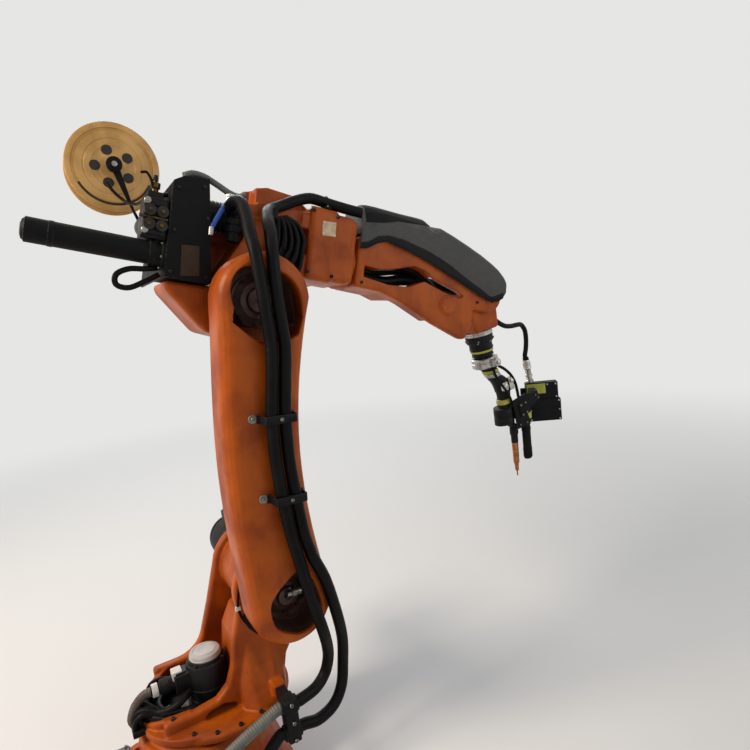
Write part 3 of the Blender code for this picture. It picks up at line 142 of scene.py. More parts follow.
def makeLamps():
    for name, place, target, width, height, watts, colour in studio["lamps"]:
        data = bpy.data.lights.new(name, "AREA")
        data.shape = "RECTANGLE"
        data.size, data.size_y = width, height
        data.energy = watts
        data.color = linear(colour)[:3]
        lamp = bpy.data.objects.new(name, data)
        lamp.location = place
        lamp.rotation_euler = (Vector(target) - Vector(place)).to_track_quat("-Z", "Y").to_euler()
        bpy.context.scene.collection.objects.link(lamp)


# the camera and shiny pieces see the plain background, everything else is lit by the pale sky
def makeWorld():
    world = bpy.data.worlds.new("studioWorld")
    bpy.context.scene.world = world
    world.use_nodes = True
    tree = world.node_tree
    tree.nodes.clear()
    rays = addNode(tree, "ShaderNodeLightPath").outputs
    seen = rays["Is Camera Ray"]
    for kind in ("Is Glossy Ray", "Is Transmission Ray"):
        seen = addNode(tree, "ShaderNodeMath", {0: seen, 1: rays[kind]}, operation="MAXIMUM").outputs[0]
    soft, plain = (
        addNode(tree, "ShaderNodeBackground", {"Color": linear(studio[colour]), "Strength": strength}).outputs[0]
        for colour, strength in (("sky", studio["skyStrength"]), ("background", 1.0))
    )
    both = addNode(tree, "ShaderNodeMixShader", {0: seen, 1: soft, 2: plain})
    out = addNode(tree, "ShaderNodeOutputWorld")
    tree.links.new(both.outputs[0], out.inputs["Surface"])


def makeFloor():
    bm = bmesh.new()
    bmesh.ops.create_circle(bm, cap_ends=True, radius=studio["floorRadius"], segments=96)
    floor = newObject("studioFloor", bm)
    material = bpy.data.materials.new("studioFloor")
    material.use_nodes = True
    tree = material.node_tree
    shader = tree.nodes["Principled BSDF"]
    shader.inputs["Base Color"].default_value = linear(studio["floor"])
    shader.inputs["Roughness"].default_value = 0.8
    place = addNode(tree, "ShaderNodeNewGeometry").outputs["Position"]
    reach = addNode(tree, "ShaderNodeVectorMath", {0: place}, operation="LENGTH").outputs["Value"]
    limits = {"Value": reach, "From Min": studio["fadeFrom"], "From Max": studio["fadeTo"]}
    fade = addNode(tree, "ShaderNodeMapRange", limits, interpolation_type="SMOOTHSTEP")
    glow = addNode(tree, "ShaderNodeEmission", {"Color": linear(studio["background"]), "Strength": 1.0})
    both = addNode(tree, "ShaderNodeMixShader", {0: fade.outputs[0], 1: shader.outputs[0], 2: glow.outputs[0]})
    tree.links.new(both.outputs[0], tree.nodes["Material Output"].inputs["Surface"])
    floor.data.materials.append(material)


# smooth: the angle in degrees under which edges shade smoothly
def newObject(name, bm, smooth=None):
    mesh = bpy.data.meshes.new(name)
    bm.to_mesh(mesh)
    bm.free()
    obj = bpy.data.objects.new(name, mesh)
    bpy.context.scene.collection.objects.link(obj)
    if smooth is not None:
        for face in mesh.polygons:
            face.use_smooth = True
        mesh.set_sharp_from_angle(angle=math.radians(smooth))
    return obj


# finishes: wear is the same on all of them, by how much each takes of it
wear = {
    "tones": (0.38, 0.66),  # where a cloud turns from one tone to the other, and from smoother to rougher
    "gloss": (0.3, 0.7),
    "slope": (0.1, 0.95, 0.12, 1.0),  # dust on what stands upright and on what faces up
    "speck": 9,  # mm across a patch of dust
    "speckRange": (0.12, 0.88),
    "streak": 34,  # mm across a streak of soot, and how it is drawn out upright
    "streakStretch": (1, 1, 0.35),
    "streakRange": (0.5, 0.78),
    "chip": 6,  # mm along an edge between knocks
    "chipRange": (0.42, 0.62),
    "corner": (0.985, 0.90),
}


def mixColour(tree, fac, first, second):
    return addNode(tree, "ShaderNodeMix", {0: fac, 6: first, 7: second}, data_type="RGBA").outputs[2]


# a pattern whose grains are size mm wide
def noise(tree, size, detail=4.0, stretch=(1, 1, 1), roughness=0.5):
    coords = addNode(tree, "ShaderNodeTexCoord").outputs["Object"]
    if stretch != (1, 1, 1):
        coords = addNode(tree, "ShaderNodeMapping", {"Vector": coords, "Scale": stretch}).outputs[0]
    facts = {"Vector": coords, "Scale": 1 / (size * mm), "Detail": detail, "Roughness": roughness}
    return addNode(tree, "ShaderNodeTexNoise", facts).outputs["Fac"]


def between(tree, value, low, high, toLow=0.0, toHigh=1.0):
    limits = {"Value": value, "From Min": low, "From Max": high, "To Min": toLow, "To Max": toHigh}
    return addNode(tree, "ShaderNodeMapRange", limits, interpolation_type="SMOOTHSTEP").outputs[0]


def times(tree, first, second):
    return addNode(tree, "ShaderNodeMath", {0: first, 1: second}, operation="MULTIPLY").outputs[0]


# a relief of depth mm, on top of another one
def relief(tree, size, depth, detail, under=None):
    height = noise(tree, size, detail)
    facts = {"Height": height, "Strength": 1.0, "Distance": depth * mm}
    if under:
        facts["Normal"] = under
    return addNode(tree, "ShaderNodeBump", facts).outputs[0]


def makeFinish(name, spec):
    material = bpy.data.materials.new(name)
    material.use_nodes = True
    tree = material.node_tree
    shader = tree.nodes["Principled BSDF"]
    shader.inputs["Metallic"].default_value = spec.get("metallic", 0.0)
    shader.inputs["Coat Weight"].default_value = spec.get("coat", 0.0)
    shader.inputs["Coat Roughness"].default_value = 0.25
    if "specular" in spec:
        shader.inputs["Specular IOR Level"].default_value = spec["specular"]
    first, second, patch = spec["tones"]
    cloud = noise(tree, patch, 6)
    colour = mixColour(tree, between(tree, cloud, *wear["tones"]), linear(first), linear(second))
    rough = between(tree, cloud, *wear["gloss"], *spec["rough"])
    facing = addNode(tree, "ShaderNodeNewGeometry").outputs["Normal"]
    # dust on what faces up; where a finish takes much of it, as the gel-coat shell does, it also paints the top
    # lighter, a painted highlight
    if "dust" in spec:
        up = addNode(tree, "ShaderNodeSeparateXYZ", {0: facing}).outputs["Z"]
        speck = noise(tree, wear["speck"], 6, roughness=0.7)
        lying = times(tree, between(tree, up, *wear["slope"]), between(tree, speck, *wear["speckRange"]))
        amount, dust = spec["dust"]
        colour = mixColour(tree, times(tree, lying, amount), colour, linear(dust))
    if "soot" in spec:
        streak = noise(tree, wear["streak"], 7, wear["streakStretch"], 0.62)
        amount, soot = spec["soot"]
        dark = times(tree, between(tree, streak, *wear["streakRange"]), amount)
        colour = mixColour(tree, dark, colour, linear(soot))
    if "edge" in spec:
        width, amount, bare = spec["edge"]
        rounded = addNode(tree, "ShaderNodeBevel", {"Radius": width * mm}, samples=4).outputs[0]
        along = addNode(tree, "ShaderNodeVectorMath", {0: rounded, 1: facing}, operation="DOT_PRODUCT")
        corner = between(tree, along.outputs["Value"], *wear["corner"])
        worn = times(tree, corner, between(tree, noise(tree, wear["chip"], 6), *wear["chipRange"]))
        colour = mixColour(tree, times(tree, worn, amount), colour, linear(bare))
    tree.links.new(colour, shader.inputs["Base Color"])
    tree.links.new(rough, shader.inputs["Roughness"])
    bump = relief(tree, *spec["grain"], 3)
    if "wave" in spec:
        bump = relief(tree, *spec["wave"], 2, bump)
    tree.links.new(bump, shader.inputs["Normal"])
    return material


# tones: two colours and the mm over which they change; dust and soot: how much and its colour;
# edge: width in mm, how much is bare and its colour; grain and wave: size and depth in mm
finishes = {
    # Two-part enamel sprayed on sand-cast aluminium: satin, a little orange peel, the sand grain under it,
    # soot and hand grease in soft streaks, and the primer showing where edges were knocked.
    "sprayedEnamel": {
        "tones": ("#AC4F06", "#8C3905", 90), "rough": (0.36, 0.5), "coat": 0.02, "specular": 0.2,
        "dust": (0.12, "#B4702E"), "soot": (0.42, "#3C1A0C"), "edge": (1.6, 0.55, "#C98A5C"), "grain": (1.6, 0.05),
        "wave": (7, 0.1),
    },
    # Black satin paint on a die-cast motor body: fine pebble, dust on what faces up, bare metal at the rims.
    "motorPaint": {
        "tones": ("#0E0E10", "#151517", 50), "rough": (0.38, 0.52), "specular": 0.14, "dust": (0.16, "#6B645B"),
        "edge": (1.0, 0.5, "#6E6C69"), "grain": (1.0, 0.03), "wave": (5, 0.04),
    },
    # Matt black powder coat on folded steel sheet: a fine even pebble.
    "powderCoat": {
        "tones": ("#0C0C0D", "#131314", 40), "rough": (0.5, 0.62), "specular": 0.1, "dust": (0.1, "#5F5A52"),
        "edge": (0.8, 0.55, "#77746F"), "grain": (0.9, 0.04),
    },
    # Glass-filled nylon, moulded black: dull, with a spark-eroded grain.
    "mouldedNylon": {
        "tones": ("#0D0D0F", "#141416", 30), "rough": (0.46, 0.58), "specular": 0.12, "dust": (0.1, "#6A645C"),
        "grain": (0.8, 0.03),
    },
    # Glass-fibre shell with a dark grey gel coat: faint waviness, and a heavy pale dust film on its top that is
    # also a painted highlight, making the top lighter as if lit from above.
    "gelCoatShell": {
        "tones": ("#2C2B2B", "#383633", 70), "rough": (0.34, 0.48), "specular": 0.25, "dust": (0.7, "#8F8F8A"),
        "soot": (0.2, "#0E0C0B"), "edge": (1.2, 0.35, "#6B6A68"), "grain": (1.2, 0.03), "wave": (16, 0.12),
    },
    # The cover's side band: the same shell, left black, half glossy.
    "blackBand": {
        "tones": ("#0F0E10", "#171618", 60), "rough": (0.34, 0.48), "specular": 0.08, "dust": (0.04, "#6F675F"),
        "grain": (1.2, 0.02), "wave": (16, 0.1),
    },
    # Black rubber hose cover: dull, wiped with oil in places and greyed with dust on top.
    "rubberCover": {
        "tones": ("#070607", "#0E0C0D", 35), "rough": (0.36, 0.54), "specular": 0.1, "dust": (0.07, "#5E5750"),
        "grain": (0.9, 0.05),
    },
    # Grey-green corrugated conduit of polyamide: dull, dusty in its grooves.
    "greyConduit": {
        "tones": ("#4C4F49", "#5E6059", 30), "rough": (0.45, 0.6), "dust": (0.4, "#8C8879"), "grain": (0.9, 0.03),
    },
    # Brown-grey cable sleeve, scuffed.
    "brownSleeve": {
        "tones": ("#3B2A22", "#4A3830", 25), "rough": (0.42, 0.6), "dust": (0.35, "#85796C"), "grain": (0.9, 0.04),
    },
    # Blue polyurethane air hose: smooth, half glossy.
    "blueAirHose": {
        "tones": ("#1D4A9C", "#2458B0", 20), "rough": (0.22, 0.34), "dust": (0.15, "#8C95A8"),
        "grain": (0.8, 0.015),
    },
    # Yellow-green plastic of rings and label plates: faded unevenly.
    "limePlastic": {
        "tones": ("#A3A632", "#B4B048", 16), "rough": (0.34, 0.48), "dust": (0.25, "#8F8A6A"),
        "soot": (0.3, "#4A4A20"), "grain": (0.8, 0.02),
    },
    # Blank tan plate of bare anodised sheet.
    "tanPlate": {
        "tones": ("#C9AE8E", "#B99A78", 12), "rough": (0.34, 0.5), "dust": (0.2, "#9A8A74"),
        "soot": (0.25, "#7A5F48"), "grain": (0.8, 0.015),
    },
    # Brass of the feed rollers and fittings: dull, with dark in its corners.
    "dullBrass": {
        "tones": ("#574426", "#40301C", 9), "rough": (0.28, 0.46), "metallic": 1.0, "soot": (0.4, "#33261A"),
        "grain": (0.8, 0.02),
    },
    # White nylon of plugs and tags, gone grey where it is handled.
    "whiteNylon": {
        "tones": ("#D6D4CF", "#C4C1B9", 14), "rough": (0.36, 0.5), "dust": (0.3, "#8E887E"),
        "soot": (0.3, "#6E675C"), "grain": (0.8, 0.02),
    },
    # Zinc-plated screws: small scratches, a yellowish cast.
    "zincScrew": {
        "tones": ("#8E8B84", "#77736B", 7), "rough": (0.28, 0.45), "metallic": 1.0, "soot": (0.4, "#3C352C"),
        "grain": (0.6, 0.02),
    },
    # Black-oxide screws: near black, oily.
    "blackScrew": {
        "tones": ("#232222", "#2E2C2B", 7), "rough": (0.3, 0.46), "metallic": 0.8, "dust": (0.3, "#5A534A"),
        "grain": (0.6, 0.02),
    },
    # The shade inside small holes: dull dark brown.
    "deepShade": {
        "tones": ("#1A120A", "#24190F", 8), "rough": (0.6, 0.75), "dust": (0.2, "#4A3A28"), "grain": (0.8, 0.02),
    },
    # Cap of light grey ABS, moulded, a little yellowed.
    "greyAbs": {
        "tones": ("#B4B2AD", "#A6A39B", 25), "rough": (0.38, 0.5), "dust": (0.2, "#8A8276"),
        "soot": (0.35, "#6A6259"), "grain": (0.9, 0.03),
    },
    # Gear covers in dark red-brown primer, oily: a soft shine in patches.
    "oiledPrimer": {
        "tones": ("#3A201A", "#4A2C22", 18), "rough": (0.3, 0.55), "dust": (0.2, "#7A6656"),
        "edge": (0.8, 0.5, "#8C7A6C"), "grain": (1.1, 0.04),
    },
    # Brown enamel on the small cover of the feeder's plate: dull, handled.
    "brownEnamel": {
        "tones": ("#2C1B0E", "#3A2615", 16), "rough": (0.4, 0.56), "specular": 0.22, "dust": (0.12, "#6A5038"),
        "soot": (0.4, "#120C07"), "grain": (1.0, 0.03),
    },
    # Turned steel, bare: fine tool marks round the axis and a little tarnish.
    "turnedSteel": {
        "tones": ("#B9B6B1", "#9C9791", 14), "rough": (0.24, 0.42), "metallic": 1.0, "soot": (0.3, "#5B534B"),
        "grain": (0.7, 0.02),
    },
    # Wire spool moulded in ochre polystyrene: semi-gloss, scuffed.
    "ochrePolystyrene": {
        "tones": ("#D2A35E", "#BC8E49", 45), "rough": (0.34, 0.5), "dust": (0.2, "#A89574"),
        "soot": (0.2, "#5F4420"), "grain": (1.0, 0.03),
    },
    # Copper gas nozzle, nickel worn off: heat tints and stuck spatter.
    "copperNozzle": {
        "tones": ("#B5764A", "#8E5A3A", 9), "rough": (0.26, 0.46), "metallic": 1.0, "soot": (0.55, "#3A2A22"),
        "grain": (1.1, 0.06),
    },
}

finishOf = {
    "sprayedEnamel": "base_frame rotating_column link_arm elbow_housing forearm_casting wrist_hand",
    "motorPaint": "a1_motor a2_motor a3_motor a4_motor a5_motor a6_motor wire_drive breakaway_mount torch_body",
    "powderCoat": "feeder_bracket feeder_boom spool_arm tool_bracket",
    "mouldedNylon": "a1_motor_plug hose_clip_upper hose_clip_lower column_hose_clamp arm_hose_clip "
    "hose_gland sensor_box",
    "gelCoatShell": "forearm_cover junction_box",
    "rubberCover": "base_hose_inner base_hose_outer shoulder_hose_inner shoulder_hose_outer link_hose_rear "
    "link_hose_front elbow_hose_rear elbow_hose_front elbow_cable_loop arm_hose cover_hose torch_cable "
    "wrist_cable sensor_hose",
    "greyAbs": "a1_motor_cap",
    "oiledPrimer": "a2_gear_cover a3_gear_cover",
    "turnedSteel": "tool_flange clamp_collar sensor_plug",
    "ochrePolystyrene": "wire_spool",
    "copperNozzle": "torch_nozzle",
}


def paintNodes():
    for name, members in finishOf.items():
        for member in members.split():
            mesh = nodes[member].data
            mesh.materials.clear()
            mesh.materials.append(made[name])


made = {name: makeFinish(name, spec) for name, spec in finishes.items()}
print("finishes made:", len(made))
paintNodes()
makeCamera()
makeLamps()
makeWorld()
makeFloor()


# places and turns of the arm's own frames, in the pose of the photo
def turnedY(degrees):
    return Matrix.Rotation(math.radians(degrees), 4, "Y")


link = Matrix.Translation((0.180, 0, 0.400)) @ turnedY(3)
elbow = link @ Matrix.Translation((0, 0, 0.600)) @ turnedY(12) @ Matrix.Translation((0, 0, 0.125))
wrist = elbow @ Matrix.Translation((0.620, 0, 0)) @ turnedY(156)
tool = wrist @ Matrix.Translation((0, 0, 0.116))
upright = Matrix.Identity(4)
frameOf = {
    "base": upright, "column": upright, "link": link, "elbow": elbow, "forearm": elbow, "wrist": wrist, "tool": tool
}

axisTurn = {
    "x": Matrix(((0, 0, 1), (1, 0, 0), (0, 1, 0))),
    "y": Matrix(((1, 0, 0), (0, 0, 1), (0, -1, 0))),
    "z": Matrix.Identity(3),
}
upward, downward, nearSide, farSide, rearward = (0, 0, 1), (0, 0, -1), (0, -1, 0), (0, 1, 0), (-1, 0, 0)


# a ring round a place in mm; its radius may be a function of the angle
def circle(bm, place, radius, steps, turn):
    ring = []
    for k in range(steps):
        a = 2 * math.pi * k / steps
        r = radius(a) if callable(radius) else radius
        ring.append(bm.verts.new((Vector(place) + turn @ Vector((r * math.cos(a), r * math.sin(a), 0))) * mm))
    return ring


def ringFaces(bm, rings, capped=True):
    for a, b in zip(rings, rings[1:]):
        for k in range(len(a)):
            j = (k + 1) % len(a)
            bm.faces.new((a[k], a[j], b[j], b[k]))
    if capped:
        bm.faces.new(rings[0][::-1])
        bm.faces.new(rings[-1])


# profile: (radius, place along the turn's third axis) in mm, from the low end to the high end
def stack(bm, profile, place, turn, steps, capped=True):
    rings = []
    for radius, along in profile:
        rings.append(circle(bm, Vector(place) + turn @ Vector((0, 0, along)), radius, steps, turn))
    ringFaces(bm, rings, capped)


def lathe(bm, profile, axis="z", centre=(0, 0, 0), steps=40, capped=True):
    stack(bm, profile, centre, axisTurn[axis], steps, capped)


# level rings one over the other on a leaning or bent line: rows of (x, z, radius)
def levelRings(bm, rows, y=0, steps=36):
    ringFaces(bm, [circle(bm, (x, y, z), r, steps, axisTurn["z"]) for x, z, r in rows])


# alternating ribs of a profile: the radius of odd and even ones, and where across the rib its points lie
def ribs(count, start, pitch, odd, even, *across):
    return [(odd if k % 2 else even, start + k * pitch + a) for k in range(count) for a in across]


def disc(bm, foot, way, radius, tall, steps=28):
    turn = Vector(way).to_track_quat("Z", "Y").to_matrix()
    stack(bm, ((radius, 0.0), (radius, tall * 0.7), (radius - tall * 0.3, tall)), foot, turn, steps)


# a socket-head screw: way is the direction that its head looks
def screw(bm, place, way, width, tall=None):
    tall = tall or width * 0.55
    turn = Vector(way).to_track_quat("Z", "Y").to_matrix()
    r, flat = width / 2, width * 0.243

    def hexagon(a):
        return flat / math.cos((a % (math.pi / 3)) - math.pi / 6)

    head = ((r * 0.98, 0.0), (r, tall * 0.15), (r, tall * 0.85), (r * 0.9, tall))
    stack(bm, head + ((hexagon, tall), (hexagon, tall * 0.45)), place, turn, 18)


def chamfered(bm, faces, width, segments=2):
    edges = list({e for f in faces for e in f.edges})
    if width:
        bmesh.ops.bevel(
            bm, geom=edges, offset=width * mm, segments=segments, profile=0.7, affect="EDGES", clamp_overlap=True
        )


# a block with rounded edges; put turns its points into another piece's frame
def box(bm, low, high, round=1.0, segments=2, put=None):
    verts = bmesh.ops.create_cube(bm, size=1.0)["verts"]
    for v in verts:
        q = Vector([(a + b) / 2 + c * (b - a) for a, b, c in zip(low, high, v.co)])
        v.co = (put(*q) if put else q) * mm
    chamfered(bm, list({f for v in verts for f in v.link_faces}), round, segments)


# an outline of (x, z) points in mm, pushed along y from low to high, or along another axis
def slab(bm, outline, low, high, round=0.8, segments=2, axis="y"):
    order = {"y": (0, 2, 1), "z": (0, 1, 2)}[axis]
    lower, upper = (
        [bm.verts.new(Vector([(*point, side)[i] for i in order]) * mm) for point in outline] for side in (low, high)
    )
    faces = [bm.faces.new(lower[::-1]), bm.faces.new(upper)]
    for k in range(len(outline)):
        j = (k + 1) % len(outline)
        faces.append(bm.faces.new((lower[k], lower[j], upper[j], upper[k])))
    bmesh.ops.recalc_face_normals(bm, faces=faces)
    chamfered(bm, faces, round, segments)


# a place between b and c on the smooth curve through a, b, c and d
def onCurve(a, b, c, d, t):
    return 0.5 * (2 * b + (c - a) * t + (2 * a - 5 * b + 4 * c - d) * t * t + (3 * b - a - 3 * c + d) * t**3)


# the same outline with its corners drawn as a smooth closed curve
def roundedOutline(outline, share=3):
    count, points = len(outline), []
    for k in range(count):
        near = [Vector(outline[(k + j) % count]) for j in (-1, 0, 1, 2)]
        points += [tuple(onCurve(*near, i / share)) for i in range(share)]
    return points


# an even walk, in metres, along the smooth curve through points given in mm
def alongRoute(points, step, share=24):
    p = [Vector(q) * mm for q in points]
    p = [p[0] * 2 - p[1]] + p + [p[-1] * 2 - p[-2]]
    fine = []
    for near in zip(p, p[1:], p[2:], p[3:]):
        fine += [onCurve(*near, k / share) for k in range(share)]
    fine.append(p[-2])
    reach = [0.0]
    for a, b in zip(fine, fine[1:]):
        reach.append(reach[-1] + (b - a).length)
    count = max(4, int(reach[-1] / (step * mm)))
    walk, k = [], 0
    for i in range(count + 1):
        goal = reach[-1] * i / count
        while k < len(reach) - 2 and reach[k + 1] < goal:
            k += 1
        t = (goal - reach[k]) / max(reach[k + 1] - reach[k], 1e-9)
        walk.append(fine[k].lerp(fine[k + 1], t))
    return walk


# a hose through the points: rib is how far its rings stand out, pitch from ring to ring, all in mm
def tube(bm, points, radius, step=2.0, sides=18, rib=0.0, pitch=4.0):
    walk = alongRoute(points, step)
    ahead = [(b - a).normalized() for a, b in zip([walk[0]] + walk[:-1], walk[1:] + [walk[-1]])]
    side = ahead[0].orthogonal().normalized()
    rings, gone = [], 0.0
    for i, (place, way) in enumerate(zip(walk, ahead)):
        side = (side - way * side.dot(way)).normalized()
        gone += (place - walk[i - 1]).length / mm if i else 0
        r = radius + rib * (0.5 + 0.5 * math.cos(2 * math.pi * gone / pitch)) - rib
        turn = Matrix((side, way.cross(side), way)).transposed()
        rings.append(circle(bm, place / mm, r, sides, turn))
    ringFaces(bm, rings)


def riding(obj, body, finish, *replaced, slot=None):
    obj.data.materials.clear()
    obj.data.materials.append(made[finish])
    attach(obj, body)
    if replaced:
        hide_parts(*replaced)
    return obj


# puts a mesh into the scene, on its body; local: it was built in the body's own frame
def piece(name, bm, body, finish, *replaced, local=True, slot=None):
    if local:
        bm.transform(frameOf[body])
    bmesh.ops.recalc_face_normals(bm, faces=bm.faces)
    return riding(newObject(name, bm, 35), body, finish, *replaced, slot=slot)


# a piece from a list of shapes, each one a function and what it is given
def build(name, body, finish, shapes, *replaced, slot=None):
    bm = bmesh.new()
    for shape, *facts in shapes:
        shape(bm, *facts)
    piece(name, bm, body, finish, *replaced, slot=slot)


# count places evenly round a centre, the first one at an angle in degrees
def around(centre, radius, count, first=0.0, axis="z"):
    turn = axisTurn[axis]
    for k in range(count):
        a = math.radians(first + 360 * k / count)
        yield tuple(Vector(centre) + turn @ Vector((radius * math.cos(a), radius * math.sin(a), 0)))


# castings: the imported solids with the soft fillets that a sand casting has
castings = {
    # node: (piece, finish, voxel mm, rounds of smoothing, share of the triangles kept)
    "base_frame": ("baseCasting", "sprayedEnamel", 2.2, 4, 0.35),
    "rotating_column": ("columnCasting", "sprayedEnamel", 2.2, 5, 0.35),
    "link_arm": ("linkArmCasting", "sprayedEnamel", 2.4, 5, 0.35),
    "elbow_housing": ("elbowCasting", "sprayedEnamel", 1.9, 5, 0.35),
    "forearm_casting": ("forearmCasting", "sprayedEnamel", 1.7, 5, 0.4),
    "wrist_hand": ("wristCasting", "sprayedEnamel", 1.1, 6, 0.4),
    "forearm_cover": ("forearmShell", "gelCoatShell", 1.7, 6, 0.4),
}

# the link arm's two pockets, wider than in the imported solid: outline in the link's frame, open side and floor
pocketOpen, pocketFloor = -200, -120.2
pockets = {
    "footPocket": (
        (17, 70), (-18, 50), (-46, 21), (-48, -10), (-38, -38), (-8, -57), (16, -62), (43, -50), (57, -23),
        (50, 18), (36, 52),
    ),
    "headPocket": (
        (-60, 642), (-67, 617), (-64, 588), (-50, 562), (-38, 551), (46, 546), (53, 575), (48, 625), (31, 645),
        (-7, 662), (-40, 660),
    ),
}


def castCopy(node):
    name, finish, voxel, rounds, keep = castings[node]
    obj = bpy.data.objects.new(name, nodes[node].data.copy())
    bpy.context.scene.collection.objects.link(obj)
    cutters = []
    for outline in pockets.values() if node == "link_arm" else ():
        bm = bmesh.new()
        slab(bm, roundedOutline(outline), pocketOpen, pocketFloor, 0)
        bm.transform(link)
        cutters.append(newObject("pocketCutter", bm, 30))
        hollow = obj.modifiers.new("hollow", "BOOLEAN")
        hollow.object, hollow.operation, hollow.solver = cutters[-1], "DIFFERENCE", "EXACT"
    remesh = obj.modifiers.new("remesh", "REMESH")
    remesh.mode, remesh.voxel_size = "VOXEL", voxel * mm
    smooth = obj.modifiers.new("smooth", "SMOOTH")
    smooth.factor, smooth.iterations = 0.5, rounds
    obj.modifiers.new("thin", "DECIMATE").ratio = keep
    graph = bpy.context.evaluated_depsgraph_get()
    mesh = bpy.data.meshes.new_from_object(obj.evaluated_get(graph), depsgraph=graph)
    obj.modifiers.clear()
    obj.data = mesh
    for cutter in cutters:
        bpy.data.objects.remove(cutter)
    for face in mesh.polygons:
        face.use_smooth = True
    return riding(obj, nodes[node]["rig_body"], finish, node)


# hoses, named for their nodes: the body they ride or the two they run between, and the route in mm
hoses = {
    "shoulder_hose_inner": {"bodies": ("column", "link"), "route": (
        (190, -212, 517), (193, -212, 498), (206, -209, 420), (222, -206, 345), (236, -184, 288), (241, -165, 246),
        (231, -160, 214), (205, -168, 198), (169, -175, 194), (155, -175, 194),
    )},
    "shoulder_hose_outer": {"bodies": ("column", "link"), "route": (
        (216, -212, 516), (221, -212, 496), (242, -207, 440), (261, -194, 360), (276, -172, 285), (276, -158, 220),
        (264, -162, 172), (238, -170, 144), (200, -176, 134), (169, -175, 138), (155, -175, 138),
    )},
    "base_hose_inner": {"bodies": ("base", "column"), "rib": 1.1, "pitch": 5.2, "finish": "greyConduit", "route": (
        (127, -175, 194), (113, -175, 194), (50, -180, 174), (-40, -180, 136), (-115, -160, 96), (-158, -128, 68),
        (-168, -102, 62), (-168, -90, 62),
    )},
    "base_hose_outer": {"bodies": ("base", "column"), "route": (
        (127, -175, 138), (113, -175, 138), (60, -190, 112), (-40, -195, 82), (-130, -182, 62), (-196, -140, 62),
        (-207, -102, 62), (-207, -90, 62),
    )},
    "link_hose_rear": {"bodies": ("link",), "route": (
        (196, -212, 905), (194.6, -212, 889), (187.5, -212, 840), (179, -212, 781), (175, -212, 701),
        (178, -212, 626), (183, -212, 565), (187, -212, 534), (190, -212, 517.5),
    )},
    "link_hose_front": {"bodies": ("link",), "route": (
        (222, -212, 904), (220.4, -212, 888), (213, -212, 839), (205, -212, 779), (201, -212, 699),
        (204, -212, 625), (208, -212, 564), (212, -212, 534), (216, -212, 516.5),
    )},
    "elbow_hose_rear": {"bodies": ("link", "elbow"), "route": (
        (196, -212, 904.5), (197, -212, 921), (195, -212, 1008), (194, -206, 1082), (195, -190, 1114),
        (201, -165, 1148), (206, -138, 1177), (203, -112, 1191), (199, -80, 1186), (210, -69, 1173),
        (208, -69, 1164),
    )},
    "elbow_hose_front": {"bodies": ("link", "elbow"), "route": (
        (222, -212, 903.5), (223, -212, 919), (221, -212, 1006), (226, -204, 1078), (236, -182, 1118),
        (250, -142, 1150), (266, -104, 1170), (283, -79, 1180), (304, -67, 1186.5),
    )},
    "arm_hose": {"bodies": ("elbow",), "route": (
        (303.5, -67.2, 1186.4), (320, -63.5, 1191), (347, -60, 1199), (383, -54, 1205), (415, -50, 1198),
        (437, -50, 1191),
    )},
    "cover_hose": {"bodies": ("elbow", "forearm"), "route": ((437, -50, 1191), (472, -50, 1181), (507, -50, 1172))},
    "torch_cable": {"bodies": ("forearm",), "radius": 13.5, "rib": 0.5, "pitch": 3.0, "route": (
        (340, 0, 1094), (437, 0, 1068), (493, 0, 1047), (561, 0, 1017), (629, 0, 1013), (689, 0, 1005),
        (741, 0, 987), (765, 0, 980),
    )},
    "wrist_cable": {
        "bodies": ("forearm", "wrist"), "radius": 13.5, "rib": 0.5, "pitch": 3.0,
        "route": ((766, 0, 980), (779, 0, 976), (793, 0, 973)),
    },
    "sensor_hose": {"bodies": ("wrist", "tool"), "radius": 7, "rib": 0.2, "pitch": 2.4, "route": (
        (908, 0, 883), (917, 0, 884), (938, 2, 869), (964, 6, 857), (991, 11, 853), (1017, 16, 853),
        (1038, 21, 852), (1051, 24, 843), (1058, 24, 828), (1059, 24, 801), (1055, 24, 776), (1050, 24, 759),
        (1052, 24, 746),
    )},
}


# shoulderHose for shoulder_hose
def camelName(node):
    first, *others = node.split("_")
    return first + "".join(word.capitalize() for word in others)


def makeHose(node, spec):
    route, rib = spec["route"], spec.get("rib", 0.35)
    step = 1.3 if rib > 1 else 1.8  # deep rings need closer sections
    bm = bmesh.new()
    tube(bm, route, spec.get("radius", 12), step, 20, rib, spec.get("pitch", 3.6))
    obj = newObject(camelName(node), bm, 60)
    obj.data.materials.append(made[spec.get("finish", "rubberCover")])
    if len(spec["bodies"]) == 2:
        start, end = (tuple(Vector(point) * mm) for point in (route[0], route[-1]))
        if spec["bodies"] in (("column", "link"), ("base", "column")):  # routed from the far end
            start, end = end, start
        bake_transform(obj)
    else:
        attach(obj, spec["bodies"][0])
    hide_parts(node)


for node, spec in hoses.items():
    makeHose(node, spec)
print("hoses:", len(hoses))

castPieces = {node: castCopy(node) for node in castings}
print("castings:", {o.name: len(o.data.polygons) for o in castPieces.values()})
graph = bpy.context.evaluated_depsgraph_get()
trees = {node: BVHTree.FromObject(obj, graph) for node, obj in castPieces.items()}


# screws sit where a ray from a chosen place of the body's frame meets the casting that they hold
seat = {"reach": 0.12, "facing": 0.5, "sunk": 0.0006}


def seatedScrews(name, body, node, places, way, width):
    turn = frameOf[body]
    ahead = (turn.to_3x3() @ Vector(way)).normalized()
    bm = bmesh.new()
    for place in places:
        hit, normal, _, _ = trees[node].ray_cast(turn @ (Vector(place) * mm), ahead, seat["reach"])
        if hit is not None and normal.dot(-ahead) >= seat["facing"]:
            screw(bm, (hit - normal * seat["sunk"]) / mm, normal, width)
    piece(name, bm, body, "blackScrew", local=False)


